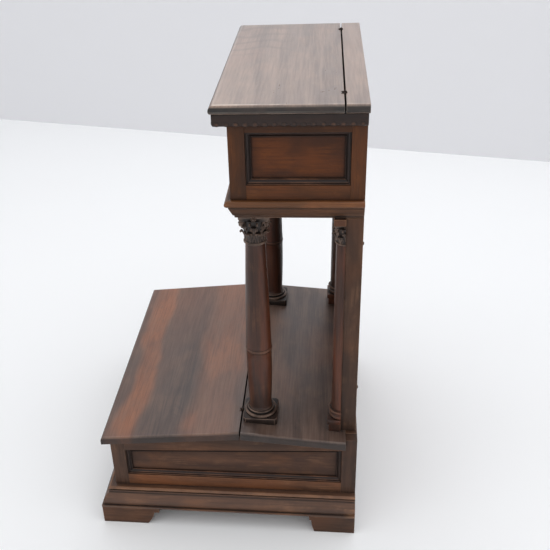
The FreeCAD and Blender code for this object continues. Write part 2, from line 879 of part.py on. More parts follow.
def nail(name, side, height):
    """Forged nail: a low cone for the head and a plain shank through the panel."""
    head = doc.addObject("Part::Cone", name + "_head")
    bind(head, "Radius1", "nail_head_radius")
    bind(head, "Radius2", "nail_tip_radius")
    bind(head, "Height", "half_depth - post_rear")
    head.Placement = FreeCAD.Placement(Vector(0, 0, 0), FreeCAD.Rotation(Vector(1, 0, 0), -90))
    move(head, (side, "post_rear", height))
    shank = rod(name + "_shank", "nail_shank_radius", "post_rebate",
                (side, "post_rear - post_rebate", height), Vector(1, 0, 0), -90)
    return join(name, [head, shank])


# ---------------------------------------------------------------- desk box

def desk_box():
    """Floor, framed sides and front, back, and the beaded strip under the lid."""
    side = rectangle("box_front", "post_rear", "cornice_top", "lid_bottom")
    opening = rectangle("box_front + box_stile_front", "post_rear - box_stile_rear",
                        "box_rail_top", "box_rail_bottom")
    framed_board("desk", "YZ_Plane", "box_half", side, opening, "box_board", True)
    front = rectangle("-" + BOX_INNER, BOX_INNER, "cornice_top", "lid_bottom")
    window = rectangle("box_stile_rear - " + BOX_INNER, BOX_INNER + " - box_stile_rear",
                       "box_rail_top", "box_rail_bottom")
    framed_board("desk", "XZ_Plane", "-box_front", front, window, "box_board", False)
    keep(block("desk_floor", ("cornice_board - box_half", "box_front + cornice_board", "soffit"),
               ("box_half - cornice_board", "post_rear - box_back", "soffit + box_floor")),
         "desk_bottom_board")
    keep(block("desk_back", ("cornice_board - box_half", "post_rear - box_back", "soffit"),
               ("box_half - cornice_board", "post_rear", "lid_bottom")),
         "desk_back_board")


def bead_strips():
    """Strip under the lid's edge that carries the row of beads."""
    outer = "box_half + strip_side_reach"
    ahead = new_body("bead_strip_front")
    front = "box_front - strip_front_reach"
    pad(ahead, outline(ahead, "XY_Plane", "strip_bottom", [
        ("-(%s)" % outer, front),
        (outer, front),
        ("box_half", "box_front"),
        ("-box_half", "box_front"),
    ]), "lid_bottom - strip_bottom")
    low, front_line = value("strip_bottom"), value(front)
    round_edges(ahead, "strip_rounding", lambda edge, middle: abs(middle.z - low) < TOLERANCE
                and abs(middle.y - front_line) < TOLERANCE)
    keep(ahead, "bead_strip_front")
    side = new_body("bead_strip_side")
    pad(side, outline(side, "XY_Plane", "strip_bottom", [
        ("box_half", "box_front"),
        (outer, front),
        (outer, "post_rear"),
        ("box_half", "post_rear"),
    ]), "lid_bottom - strip_bottom")
    side_line = value(outer)
    round_edges(side, "strip_rounding", lambda edge, middle: abs(middle.z - low) < TOLERANCE
                and abs(middle.x - side_line) < TOLERANCE)
    pair(side, "bead_strip")


def rounded_slab(name, near, far, with_front):
    """Lid board whose edges are rounded above and less so below, at both sides, and at the
    front if asked."""
    body = new_body(name)
    pad(body, outline(body, "YZ_Plane", "-lid_half",
                      rectangle(near, far, "lid_bottom", "lid_top")), "2 * lid_half")
    half, front = value("lid_half"), value(near)
    for radius, height in (("lid_rounding", value("lid_top")),
                           ("lid_lower_rounding", value("lid_bottom"))):
        def rim(edge, middle):
            at_side = abs(abs(middle.x) - half) < TOLERANCE
            at_front = with_front and abs(middle.y - front) < TOLERANCE
            return abs(middle.z - height) < TOLERANCE and (at_side or at_front)

        round_edges(body, radius, rim)
    return body


def desk_top():
    """The hinged desk lid, the fixed strip behind it, and the hinges between them."""
    eyes, loops = hinge_pair("desk", "desk_hinge_side", "desk_gap_line", "lid_top", "0")
    lid = rounded_slab("desk_board", "lid_front", "desk_gap_line - gap", True)
    notches = lid_notches("desk", "desk_hinge_side", "desk_gap_line", "lid_top")
    keep(cut("desk_lid_cut", lid, join("desk_lid_waste", notches + loops)), "desk_lid")
    strip = rounded_slab("desk_strip", "desk_gap_line + gap", "lid_rear", False)
    waste = fixed_notches("desk", "desk_hinge_side", "desk_gap_line", "lid_top")
    keep(cut("desk_strip_cut", strip, join("desk_strip_waste", waste + eyes)),
         "desk_fixed_strip")


# ---------------------------------------------------------------- whole stand

def check(item):
    """Stop if an object failed without saying so."""
    if "Invalid" in item.State or "Error" in item.State:
        raise RuntimeError("%s did not recompute: %s" % (item.Label, item.State))


def export():
    """Check every sub-part and write its shape."""
    os.makedirs("parts", exist_ok=True)
    for item in doc.Objects:
        check(item)
    for item in subparts:
        shape = item.Shape
        if shape.isNull() or not shape.isValid() or not shape.Solids:
            raise RuntimeError("%s has no valid solid" % item.Label)
        shape.exportStep("parts/%s.step" % item.Label)
        size = shape.BoundBox
        print("%-28s %2d solid(s) %10.0f mm3  x %7.1f %7.1f  y %7.1f %7.1f  z %6.1f %6.1f" % (
            item.Label, len(shape.Solids), shape.Volume, size.XMin, size.XMax,
            size.YMin, size.YMax, size.ZMin, size.ZMax))
    print(len(subparts), "sub-parts")


fill_sheet()
foot("foot_front", True)
foot("foot_rear", False)
run_of_moulding("plinth_moulding", plinth_profile(), CHEST_HALF, CHEST_FRONT, "half_depth",
                "plinth_reach", "chest_board")
lower_chest()
kneeler_top()
column_base()
column_shaft()
capital()
half_column()
back_posts()
run_of_moulding("cornice_moulding", cornice_profile(), "box_half", "box_front", "post_rear",
                "cornice_tip", "cornice_board")
desk_box()
bead_strips()
desk_top()
doc.recompute()
export()
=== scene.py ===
import math
import random

import bmesh
import bpy
from mathutils import Matrix, Vector, noise


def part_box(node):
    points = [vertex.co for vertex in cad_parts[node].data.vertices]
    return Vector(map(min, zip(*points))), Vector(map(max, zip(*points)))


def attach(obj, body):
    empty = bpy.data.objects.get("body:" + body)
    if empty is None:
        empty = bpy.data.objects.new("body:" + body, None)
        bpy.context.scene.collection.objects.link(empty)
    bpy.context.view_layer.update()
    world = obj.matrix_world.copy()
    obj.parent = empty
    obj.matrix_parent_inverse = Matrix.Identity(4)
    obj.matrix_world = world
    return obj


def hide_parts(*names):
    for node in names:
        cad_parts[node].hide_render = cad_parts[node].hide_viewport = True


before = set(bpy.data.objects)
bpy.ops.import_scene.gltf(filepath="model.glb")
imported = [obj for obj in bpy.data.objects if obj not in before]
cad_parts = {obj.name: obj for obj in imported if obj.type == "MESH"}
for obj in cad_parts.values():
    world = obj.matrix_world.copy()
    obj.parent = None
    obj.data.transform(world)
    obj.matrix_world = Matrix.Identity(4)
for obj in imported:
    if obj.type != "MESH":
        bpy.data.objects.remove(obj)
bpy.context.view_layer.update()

# Looks of a kneeling stand: an old dark walnut prayer desk with a sloping lidded chest, two
# turned columns and a lidded desk box. Metres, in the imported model's own frame.

MM = 0.001
WELD = 1e-6
FLAT_FROM = 0.006      # a face wider than this counts as a board's flat face
ARRIS = 0.0009         # how far a sharp edge has been rubbed down
FLAT_CURVE = 0.17      # turn per millimetre below which a curve is not rubbed
TIGHT_CURVE = 0.25     # and how much more than that is fully rubbed
LONG_SHARE = 0.3       # share of a face's longest side from which a side counts
GRAIN = {"X": (0, 1, 2), "Y": (1, 2, 0), "Z": (2, 0, 1)}
FINE_ARRIS = 0.0006    # the same on a small or sheltered piece
CORNER_REACH = 0.016   # how near another surface must be for soil and painted shade to gather
HOLLOW_REACH = 0.055   # and for a surface to lie in a hollow and take its painted shade


def limited(value):
    """A number held between 0 and 1."""
    return max(0.0, min(1.0, value))


# ---------------------------------------------------------------- node building

def operator(operation, swapped=False):
    """A Python operator that adds a Math node, its two sides swapped if asked."""
    def apply(this, other):
        first, second = (other, this) if swapped else (this, other)
        return this.combined(operation, first, second)
    return apply


class Number:
    """A node's output; arithmetic on it adds Math nodes."""

    def __init__(self, tree, socket):
        self.tree, self.socket = tree, socket

    def combined(self, operation, first, second, clamp=False):
        settings = {"operation": operation, "use_clamp": clamp}
        return self.tree.node("ShaderNodeMath", settings, {0: first, 1: second})

    __add__, __radd__ = operator("ADD"), operator("ADD", True)
    __sub__, __rsub__ = operator("SUBTRACT"), operator("SUBTRACT", True)
    __mul__, __rmul__ = operator("MULTIPLY"), operator("MULTIPLY", True)

    def clamped(self):
        return self.combined("ADD", self, 0.0, clamp=True)

    def between(self, low, high):
        """0 at low, 1 at high, smooth between."""
        first, last = sorted((low, high))
        ramp = self.tree.node("ShaderNodeMapRange", {"interpolation_type": "SMOOTHSTEP"},
                              {0: self, 1: first, 2: last, 3: 0.0, 4: 1.0})
        return ramp if low < high else 1.0 - ramp


class Tree:
    """Adds nodes to a node tree of one kind."""

    def __init__(self, tree, prefix):
        self.tree, self.prefix = tree, prefix

    def node(self, kind, settings=None, inputs=None, out=0):
        """Add a node: its settings first, then the values or links of its sockets."""
        known = kind.startswith(("ShaderNode", "GeometryNode", "FunctionNode"))
        made = self.tree.nodes.new(kind if known else self.prefix + kind)
        for key, value in (settings or {}).items():
            if key == "stops":
                self._stops(made.color_ramp, value)
            else:
                setattr(made, key, value)
        for key, value in (inputs or {}).items():
            if isinstance(value, Number):
                self.tree.links.new(value.socket, made.inputs[key])
            elif value is not None:
                made.inputs[key].default_value = value
        return Number(self, made.outputs[out]) if out is not None else made

    @staticmethod
    def _stops(ramp, stops):
        while len(ramp.elements) < len(stops):
            ramp.elements.new(0.5)
        for element, (place, colour) in zip(ramp.elements, stops):
            element.position = place
            element.color = colour


class Finish(Tree):
    """A material under construction."""

    def __init__(self, name):
        self.material = bpy.data.materials.new(name)
        self.material.use_nodes = True
        self.material.node_tree.nodes.clear()
        super().__init__(self.material.node_tree, "ShaderNode")

    def attribute(self, name, out="Fac"):
        return self.node("Attribute", {"attribute_name": name}, out=out)

    def spot(self, axis):
        """Where a point lies along one of the stand's own axes."""
        place = self.node("TexCoord", out="Object")
        return self.node("SeparateXYZ", None, {0: place}, out=axis)

    def scaled(self, vector, factors):
        return self.node("VectorMath", {"operation": "MULTIPLY"}, {0: vector, 1: factors})

    def noise(self, vector, scale=1.0, detail=3.0, rough=0.5, distortion=0.0):
        return self.node("TexNoise", None, {
            "Vector": vector, "Scale": scale, "Detail": detail, "Roughness": rough,
            "Distortion": distortion})

    def mix(self, factor, first, second, blend="MIX"):
        return self.node("Mix", {"data_type": "RGBA", "blend_type": blend},
                         {0: factor, 6: first, 7: second}, out=2)

    def strips(self, place, rows, waver=0.10):
        """Soft-edged wavering strips across the depth: their middles and half widths."""
        depth = self.spot("Y")
        depth = depth + (self.noise(self.scaled(place, (3.5, 3.0, 3.0))) - 0.5) * waver
        total = None
        for middle, half in rows:
            away = self.node("Math", {"operation": "ABSOLUTE"}, {0: depth - middle})
            strip = away.between(half * 1.35, half * 0.55)
            total = strip if total is None else total + strip
        return total.clamped()

    def ripples(self, place, pitch=0.054, waver=0.15):
        """Wavering dark lines across the far front corner of the desk board."""
        spot = self.node("TexCoord", out="Object")
        across, depth, height = (self.node("SeparateXYZ", None, {0: spot}, out=axis)
                                 for axis in "XYZ")
        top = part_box("desk_lid")[1].z
        bend = self.noise(self.scaled(place, (7.0, 11.0, 9.0)), detail=2.0)
        wave = self.node("Math", {"operation": "SINE"},
                         {0: (across + bend * waver) * (2 * math.pi / pitch)})
        corner = (across.between(0.0, -0.06) * depth.between(0.15, 0.08)
                  * height.between(top - 0.004, top - 0.001))
        return wave.between(0.1, 1.0) * corner

    def output(self, surface):
        self.node("OutputMaterial", None, {"Surface": surface}, out=None)
        return self.material


def tone(red, green, blue):
    """A colour given as it looks on screen, 0 to 255, in the renderer's linear numbers."""
    def linear(value):
        value /= 255
        return value / 12.92 if value <= 0.04045 else ((value + 0.055) / 1.055) ** 2.4
    return (linear(red), linear(green), linear(blue), 1.0)


# ---------------------------------------------------------------- finishes

# Near-black for soil and for painted shade in corners, hollows and faces turned from the
# light.
DIRT_AND_SHADE = tone(24, 20, 18)
# Pale tone for a dusty bloom and for the varnish's sheen painted into the colour.
DUST_AND_SHEEN = tone(172, 146, 130)


def wood(name, tones, band=0.5, warm_share=0.5, gloss=0.42, figure=1.0, haze_and_sheen=0.0, coat=0.1,
         shine=0.3, patches=(4.0, 6.5, 6.5), patch_edge=(0.44, 0.66), rub_and_highlight_strength=1.0,
         recess_shade=0.25, strips=(), polish=0.25, shade_and_dirt_weight=0.75, ripple=0.0):
    """Old varnished hardwood with the grain along the board's own first number: broad bands,
    fine fibres and pores, patchy varnish, arrises lightened by scuffs and by a painted
    highlight, corners and hollows darkened by soil and by painted shade, and on some boards
    a pale dusty veil that partly paints the varnish's sheen. The tones are dark, main,
    light, warm, and the tone of scuffs and painted highlights."""
    dark, main, light, warm, wear_and_highlight_tone = (tone(*levels) for levels in tones)
    f = Finish(name)
    place = f.attribute("board", out="Vector")
    worn = f.attribute("worn")
    soiled = f.attribute("soiled")

    bend = f.noise(f.scaled(place, (1.6, 5.0, 5.0)), detail=2.0)
    bent = f.node("VectorMath", {"operation": "ADD"},
                  {0: place, 1: f.scaled(bend, (0.0, 0.055, 0.055))})
    bands = f.noise(f.scaled(bent, (2.4 * figure, 30.0, 30.0)), 1.0, 4.0, 0.55, 0.35)
    fibre = f.noise(f.scaled(place, (14.0, 330.0, 330.0)), rough=0.6)
    pores = f.noise(f.scaled(place, (75.0, 1500.0, 1500.0)), detail=1.0)
    mottle = f.noise(f.scaled(place, (17.0, 26.0, 26.0)), 1.0, 4.0, 0.62, 0.5)
    patch = f.noise(f.scaled(place, patches), 1.0, 3.0, 0.55, 0.4)
    speck = f.noise(f.scaled(place, (240.0, 240.0, 240.0)), detail=2.0, rough=0.6)

    colour = f.mix(bands.between(0.28, 0.72) * (0.55 + band * 0.45), dark, main)
    warmth = patch.between(*patch_edge)
    if strips:
        away = f.spot("X")
        warmth = (f.strips(place, strips) * (warmth * 0.5 + 0.42) + warmth * 0.12
                  + away.between(0.0, -0.30) * 0.35).clamped()
    colour = f.mix(warmth * warm_share, colour, warm)
    colour = f.mix((mottle.between(0.46, 0.74) * fibre.between(0.3, 0.72) * 0.62).clamped(),
                   colour, light)
    colour = f.mix(fibre.between(0.56, 0.3) * 0.35, colour, dark)
    colour = f.mix(pores.between(0.60, 0.72) * 0.45, colour, dark)

    # Ambient occlusion paints shade into corners and hollows, partly standing for soil.
    near, wide = (f.node("AmbientOcclusion", {"samples": 4, "only_local": False},
                         {"Distance": reach}, out="AO")
                  for reach in (CORNER_REACH, HOLLOW_REACH))
    grime_and_shade = ((1.0 - near.between(0.18, 0.92)) * 0.72 + soiled * shade_and_dirt_weight
             + (1.0 - wide.between(0.45, 0.98)) * recess_shade).clamped()
    grime_and_shade = (grime_and_shade * (0.62 + mottle * 0.6)).clamped()
    colour = f.mix(grime_and_shade, colour, DIRT_AND_SHADE)

    rub_and_highlight_mix = worn * rub_and_highlight_strength * (0.25 + mottle.between(0.36, 0.62) * 0.75) * (0.55 + speck * 0.6)
    colour = f.mix(rub_and_highlight_mix.clamped(), colour, wear_and_highlight_tone)
    # Painted sheen: a pale dusty veil on the faces not darkened, partly bloom on old
    # varnish, partly the varnish's reflection.
    if haze_and_sheen:
        dust_and_sheen = (bands.between(0.34, 0.66) * 0.4 + fibre.between(0.35, 0.65) * 0.3
                + mottle.between(0.3, 0.75) * 0.3) * haze_and_sheen
        colour = f.mix((dust_and_sheen * (1.0 - soiled)).clamped(), colour, DUST_AND_SHEEN)
    if ripple:
        colour = f.mix(f.ripples(place) * ripple, colour, dark)

    rough = (gloss + (mottle - 0.5) * 0.30 + (0.5 - fibre) * 0.10 + grime_and_shade * 0.22).clamped()
    height = fibre * 0.35 + pores * 0.25 + mottle * 0.9 + speck * 0.10
    bump = f.node("Bump", None, {"Strength": 0.55, "Distance": 0.0006, "Height": height})
    surface = f.node("BsdfPrincipled", None, {
        "Base Color": colour, "Roughness": rough, "Normal": bump, "IOR": 1.5,
        "Specular IOR Level": shine, "Coat Weight": (1.0 - soiled * 0.8) * coat,
        "Coat Roughness": polish})
    return f.output(surface)


def iron(name):
    """Blackened forged iron with brown rust in patches."""
    f = Finish(name)
    place = f.node("TexCoord", out="Object")
    rust = f.noise(place, 320.0, 4.0, 0.6, 0.3)
    dents = f.noise(place, 900.0, 2.0, 0.5)
    colour = f.mix(rust.between(0.48, 0.66), tone(52, 48, 46), tone(92, 58, 38))
    metallic = 0.85 - rust.between(0.48, 0.66) * 0.7
    rough = 0.42 + rust * 0.35
    bump = f.node("Bump", None, {"Strength": 0.6, "Distance": 0.0005,
                                 "Height": dents + rust * 0.6})
    surface = f.node("BsdfPrincipled", None, {
        "Base Color": colour, "Metallic": metallic, "Roughness": rough, "Normal": bump})
    return f.output(surface)


def finishes():
    """Every finish by the part of the stand that wears it."""
    return {
        "frame": wood("walnut_frame", ((50, 30, 18), (92, 53, 25), (118, 69, 32),
                                       (106, 56, 24), (150, 104, 76)),
                      band=0.7, warm_share=0.6, gloss=0.46, rub_and_highlight_strength=0.6, shine=0.2,
                      coat=0.05),
        "low_frame": wood("walnut_low_frame", ((52, 38, 31), (90, 64, 50), (114, 84, 64),
                                               (112, 70, 44), (150, 116, 92)),
                          band=0.6, gloss=0.50, rub_and_highlight_strength=0.6, shine=0.2, coat=0.03,
                          recess_shade=0.08),
        "panel": wood("walnut_panel", ((56, 31, 19), (92, 49, 22), (120, 66, 26),
                                       (112, 58, 20), (140, 92, 62)),
                      band=0.8, warm_share=0.6, gloss=0.46, figure=2.2,
                      patches=(9.0, 14.0, 14.0), patch_edge=(0.36, 0.66), shine=0.2,
                      coat=0.03, recess_shade=0.75),
        "low_panel": wood("walnut_low_panel", ((64, 45, 37), (102, 71, 54), (128, 92, 68),
                                               (114, 74, 48), (140, 106, 82)),
                          band=0.7, warm_share=0.6, gloss=0.50, figure=2.0,
                          patches=(8.0, 14.0, 14.0), shine=0.2, coat=0.02, recess_shade=0.5),
        "moulding": wood("walnut_moulding", ((70, 50, 40), (110, 77, 59), (136, 98, 72),
                                             (128, 84, 54), (182, 130, 90)),
                         shine=0.35, rub_and_highlight_strength=0.7, patches=(6.0, 20.0, 20.0)),
        "rim": wood("walnut_panel_moulding", ((28, 18, 15), (48, 29, 21), (66, 40, 28),
                                              (56, 30, 22), (140, 94, 66)),
                    warm_share=0.4, gloss=0.40, rub_and_highlight_strength=0.8),
        "cornice": wood("walnut_cornice", ((60, 36, 20), (116, 70, 33), (144, 90, 46),
                                           (136, 78, 36), (156, 130, 112)),
                        band=0.7, warm_share=0.6, gloss=0.40, rub_and_highlight_strength=0.7),
        "kneeler": wood("walnut_kneeling_board", ((50, 33, 27), (74, 49, 38), (98, 66, 48),
                                                  (152, 86, 42), (160, 142, 130)),
                        warm_share=0.80, figure=0.6, haze_and_sheen=0.18, coat=0.4, shine=0.5,
                        rub_and_highlight_strength=0.7, polish=0.34,
                        strips=((-0.205, 0.024), (-0.030, 0.052), (0.075, 0.026))),
        "fixed_top": wood("walnut_fixed_board", ((58, 42, 36), (86, 62, 51), (110, 80, 62),
                                                 (124, 78, 52), (160, 142, 130)),
                          warm_share=0.45, figure=0.6, haze_and_sheen=0.26, coat=0.4, shine=0.5,
                          rub_and_highlight_strength=0.7, polish=0.34),
        # The desk board's strong pale veil is mostly painted sheen.
        "desk": wood("walnut_desk_board", ((84, 62, 50), (120, 90, 70), (144, 112, 90),
                                           (142, 98, 72), (232, 216, 200)),
                     band=0.4, warm_share=0.4, gloss=0.34, figure=0.6, haze_and_sheen=0.62, coat=0.8,
                     shine=0.5, rub_and_highlight_strength=0.9, polish=0.30, shade_and_dirt_weight=1.15, ripple=0.4),
        "low_rail": wood("walnut_low_rail", ((64, 44, 33), (110, 74, 52), (136, 96, 68),
                                             (138, 82, 46), (150, 116, 92)),
                         band=0.6, warm_share=0.6, gloss=0.50, rub_and_highlight_strength=0.6, shine=0.2,
                         coat=0.03, recess_shade=0.0),
        "column": wood("walnut_turned", ((42, 28, 23), (76, 47, 35), (98, 64, 44),
                                         (98, 52, 32), (134, 100, 80)),
                       band=0.6, warm_share=0.7, gloss=0.40, coat=0.05,
                       patches=(3.0, 30.0, 30.0), rub_and_highlight_strength=0.5),
        "carved": wood("walnut_carved", ((26, 19, 16), (46, 31, 24), (70, 49, 38),
                                         (54, 33, 25), (138, 112, 96)),
                       band=0.4, warm_share=0.3, rub_and_highlight_strength=0.75),
        "inner": wood("walnut_unpolished", ((72, 48, 34), (112, 78, 54), (140, 102, 72),
                                            (120, 80, 54), (160, 124, 92)),
                      warm_share=0.4, gloss=0.62, coat=0.0),
        "impost": wood("walnut_plain_block", ((58, 35, 24), (88, 54, 34), (108, 70, 44),
                                              (96, 56, 34), (130, 92, 66)),
                       band=0.6, gloss=0.50, coat=0.0),
        "iron": iron("forged_iron"),
    }


# ---------------------------------------------------------------- shaping

def copy_of(node):
    """A CAD node's solid with its triangles joined into whole faces."""
    bm = bmesh.new()
    bm.from_mesh(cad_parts[node].data)
    bmesh.ops.remove_doubles(bm, verts=bm.verts, dist=WELD)
    bmesh.ops.dissolve_limit(bm, angle_limit=math.radians(1), verts=bm.verts,
                             edges=bm.edges)
    return bm


def sliced(bm, point, normal, drop=True):
    """Cut a shape at a plane, without what lies in front of it unless drop is off; the
    edges of the cut come back."""
    geometry = bm.verts[:] + bm.edges[:] + bm.faces[:]
    cut = bmesh.ops.bisect_plane(bm, geom=geometry, dist=WELD, plane_co=point,
                                 plane_no=normal, clear_outer=drop)
    return [e for e in cut["geom_cut"] if isinstance(e, bmesh.types.BMEdge)]


def trimmed(bm, point, normal):
    """The part of a closed shape behind a plane, closed again."""
    rim = sliced(bm, point, normal)
    bmesh.ops.edgeloop_fill(bm, edges=[e for e in rim if len(e.link_faces) < 2])
    bmesh.ops.recalc_face_normals(bm, faces=bm.faces)
    return bm


def width_of(face):
    """Width of a long narrow face, and about half the side of a square one."""
    around = face.calc_perimeter()
    return 2 * face.calc_area() / around if around else 0.0


def rub_and_highlight_layer(bm):
    """Where a shape keeps, 0 to 1, how scuffed each of its faces is and how much painted
    highlight it takes.
    """
    return bm.faces.layers.float.get("rub_and_highlight") or bm.faces.layers.float.new("rub_and_highlight")


def soften(bm, width=ARRIS, segments=2, sharp_from=38):
    """Round every sharp outward edge a little and mark what was rounded."""
    rub_and_highlight = rub_and_highlight_layer(bm)
    sharp = [e for e in bm.edges if len(e.link_faces) == 2
             and e.calc_face_angle_signed(0) > math.radians(sharp_from)]
    if sharp:
        made = bmesh.ops.bevel(bm, geom=sharp, offset=width, offset_type="OFFSET",
                               segments=segments, profile=0.5, affect="EDGES",
                               clamp_overlap=True)
        for face in made["faces"]:
            face[rub_and_highlight] = 1.0
    return bm


def in_scene(name, data):
    """A new object in the scene for some data."""
    obj = bpy.data.objects.new(name, data)
    bpy.context.scene.collection.objects.link(obj)
    return obj


def as_object(bm, name):
    """Turn a shape into an object of its own."""
    mesh = bpy.data.meshes.new(name)
    bm.to_mesh(mesh)
    bm.free()
    return in_scene(name, mesh)


def edge_curves(bm, rub_and_highlight, crease, turned):
    """Set every edge smooth or sharp, and list how far it turns inward, as an angle, and
    how tightly it turns outward, as an angle for each millimetre."""
    curves = {}
    for edge in bm.edges:
        if len(edge.link_faces) == 2:
            angle = edge.calc_face_angle_signed(0)
            widths = [width_of(face) for face in edge.link_faces]
            marks = [face[rub_and_highlight] for face in edge.link_faces]
            across = sum(widths) / 2
            curve = 0.0 if max(marks) > 0 else angle / max(across / MM, 0.05)
            curves[edge] = (min(0.0, angle), max(0.0, curve))
            flat = max(widths) > FLAT_FROM and not turned
            limit = math.radians(1 if flat else crease)
            edge.smooth = abs(angle) < limit or min(marks) > 0.5
    return curves


def corner_curves(corner, curves, long_from):
    """The inward and outward turn at a face's corner, from its sides of some length."""
    sides = [curves.get(edge, (0.0, 0.0))
             for edge in (corner.edge, corner.link_loop_prev.edge)
             if edge.calc_length() >= long_from]
    return (min((side[0] for side in sides), default=0.0),
            max((side[1] for side in sides), default=0.0))


def part(bm, along="Z", seed=0, wear_and_highlight_share=1.0, crease=24, tips=None, turned=False, shade=None):
    """Turn a shape into an object: mark its scuffed places and painted highlights, its dirty
    places and painted shade, lay its grain along one axis, and start its figure somewhere of
    its own.
    Tight outward curves count as scuffed, inward corners as dirty and under painted shade;
    tips and shade add to either by position."""
    rub_and_highlight = rub_and_highlight_layer(bm)
    worn = bm.loops.layers.float.new("worn")
    soiled = bm.loops.layers.float.new("soiled")
    place = bm.verts.layers.float_vector.new("board")
    draw = random.Random(seed)
    shift = Vector([draw.uniform(0, 30) for _ in range(3)])
    bm.normal_update()
    curves = edge_curves(bm, rub_and_highlight, crease, turned)
    for vert in bm.verts:
        vert[place] = Vector([vert.co[axis] for axis in GRAIN[along]]) + shift
    for face in bm.faces:
        face.smooth = True
        broad = width_of(face) > FLAT_FROM
        long_from = LONG_SHARE * max(edge.calc_length() for edge in face.edges)
        for corner in face.loops:
            inward_turn, outward_turn = corner_curves(corner, curves, long_from)
            if face[rub_and_highlight] > 0:
                corner[worn] = wear_and_highlight_share * face[rub_and_highlight]
            elif not broad:
                corner[worn] = wear_and_highlight_share * limited((outward_turn - FLAT_CURVE) / TIGHT_CURVE)
                # Inward corners get darker: partly soil, partly painted shade in the crease.
                corner[soiled] = limited(-inward_turn / math.radians(60))
            if shade is not None:
                corner[soiled] = min(1.0, corner[soiled] + shade(corner.vert.co))
            if tips is not None:
                corner[worn] = max(corner[worn], tips(corner.vert.co))
    return as_object(bm, "part")


def joined(node, parts, finish, body="stand"):
    """Join shapes into one finished piece that stands for a CAD node and rides on a body."""
    for obj in parts:
        if not obj.data.materials:
            obj.data.materials.append(finish)
    if len(parts) > 1:
        with bpy.context.temp_override(active_object=parts[0], object=parts[0],
                                       selected_objects=parts,
                                       selected_editable_objects=parts):
            bpy.ops.object.join()
    piece = parts[0]
    piece.name = piece.data.name = node + "_finished"
    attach(piece, body)
    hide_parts(node)


def closed_shell(rings):
    """A closed shape from rings of points, with both ends filled."""
    bm = bmesh.new()
    rows = [[bm.verts.new(p) for p in ring] for ring in rings]
    for lower, upper in zip(rows, rows[1:]):
        count = len(lower)
        for i in range(count):
            j = (i + 1) % count
            bm.faces.new((lower[i], lower[j], upper[j], upper[i]))
    bm.faces.new(rows[0][::-1])
    bm.faces.new(rows[-1])
    bmesh.ops.remove_doubles(bm, verts=bm.verts, dist=WELD)
    bmesh.ops.recalc_face_normals(bm, faces=bm.faces)
    return bm


def merged(shapes):
    """One bmesh that holds all of several."""
    whole = bmesh.new()
    for bm in shapes:
        mesh = bpy.data.meshes.new("merge")
        bm.to_mesh(mesh)
        bm.free()
        whole.from_mesh(mesh)
        bpy.data.meshes.remove(mesh)
    return whole


# ---------------------------------------------------------------- repeats

class Pattern(Tree):
    """A Geometry Nodes tree with named inputs, run on an empty mesh."""

    def __init__(self, name):
        tree = bpy.data.node_groups.new(name, "GeometryNodeTree")
        tree.interface.new_socket("Geometry", in_out="OUTPUT",
                                  socket_type="NodeSocketGeometry")
        super().__init__(tree, "GeometryNode")
        self.inputs = {}
        self.entry = None

    def input(self, name, kind, value=None):
        socket = self.tree.interface.new_socket(name, in_out="INPUT",
                                                socket_type="NodeSocket" + kind)
        if value is not None and kind != "Object":
            socket.default_value = value
        self.inputs[name] = socket.identifier
        if self.entry is None:
            self.entry = self.tree.nodes.new("NodeGroupInput")
        return Number(self, self.entry.outputs[name])

    def finish(self, instances, material):
        real = self.node("RealizeInstances", None, {0: instances})
        painted = self.node("SetMaterial", None, {"Geometry": real, "Material": material})
        leave = self.tree.nodes.new("NodeGroupOutput")
        self.tree.links.new(painted.socket, leave.inputs[0])

    def run(self, values):
        """Evaluate the tree with some inputs and return the result as a bmesh."""
        host = in_scene("host", bpy.data.meshes.new("host"))
        modifier = host.modifiers.new("pattern", "NODES")
        modifier.node_group = self.tree
        for name, value in values.items():
            modifier[self.inputs[name]] = value
        bpy.context.view_layer.update()
        graph = bpy.context.evaluated_depsgraph_get()
        mesh = bpy.data.meshes.new_from_object(host.evaluated_get(graph))
        bpy.data.objects.remove(host)
        bm = bmesh.new()
        bm.from_mesh(mesh)
        bpy.data.meshes.remove(mesh)
        return bm


def ring_pattern(material):
    """One ornament repeated round an upright axis."""
    tree = Pattern("ornaments_in_a_ring")
    ornament = tree.input("Ornament", "Object")
    count = tree.input("Count", "Int", 8)
    step = tree.input("Step", "Float", math.radians(45))
    start = tree.input("Start", "Float", 0.0)
    shape = tree.node("ObjectInfo", {"transform_space": "ORIGINAL"}, {"Object": ornament},
                      out="Geometry")
    points = tree.node("Points", None, {"Count": count})
    turn = tree.node("ShaderNodeCombineXYZ", None,
                     {"Z": tree.node("InputIndex") * step + start})
    copies = tree.node("InstanceOnPoints", None,
                       {"Points": points, "Instance": shape, "Rotation": turn})
    tree.finish(copies, material)
    return tree


def row_pattern(material):
    """Pearls at an even spacing along a straight line, each a little uneven."""
    tree = Pattern("pearls_in_a_row")
    start = tree.input("Start", "Vector")
    end = tree.input("End", "Vector")
    count = tree.input("Count", "Int", 10)
    size = tree.input("Size", "Vector")
    seed = tree.input("Seed", "Int", 1)
    line = tree.node("CurvePrimitiveLine", None, {"Start": start, "End": end})
    spaced = tree.node("ResampleCurve", None, {"Curve": line, "Count": count})
    points = tree.node("CurveToPoints", {"mode": "EVALUATED"}, {"Curve": spaced},
                       out="Points")
    pearl = tree.node("MeshUVSphere", None, {"Segments": 16, "Rings": 10, "Radius": 0.5},
                      out="Mesh")
    uneven = tree.node("FunctionNodeRandomValue", {"data_type": "FLOAT_VECTOR"},
                       {0: (0.86, 0.86, 0.86), 1: (1.08, 1.08, 1.08), "Seed": seed})
    scale = tree.node("ShaderNodeVectorMath", {"operation": "MULTIPLY"},
                      {0: size, 1: uneven})
    copies = tree.node("InstanceOnPoints", None,
                       {"Points": points, "Instance": pearl, "Scale": scale})
    tree.finish(copies, material)
    return tree


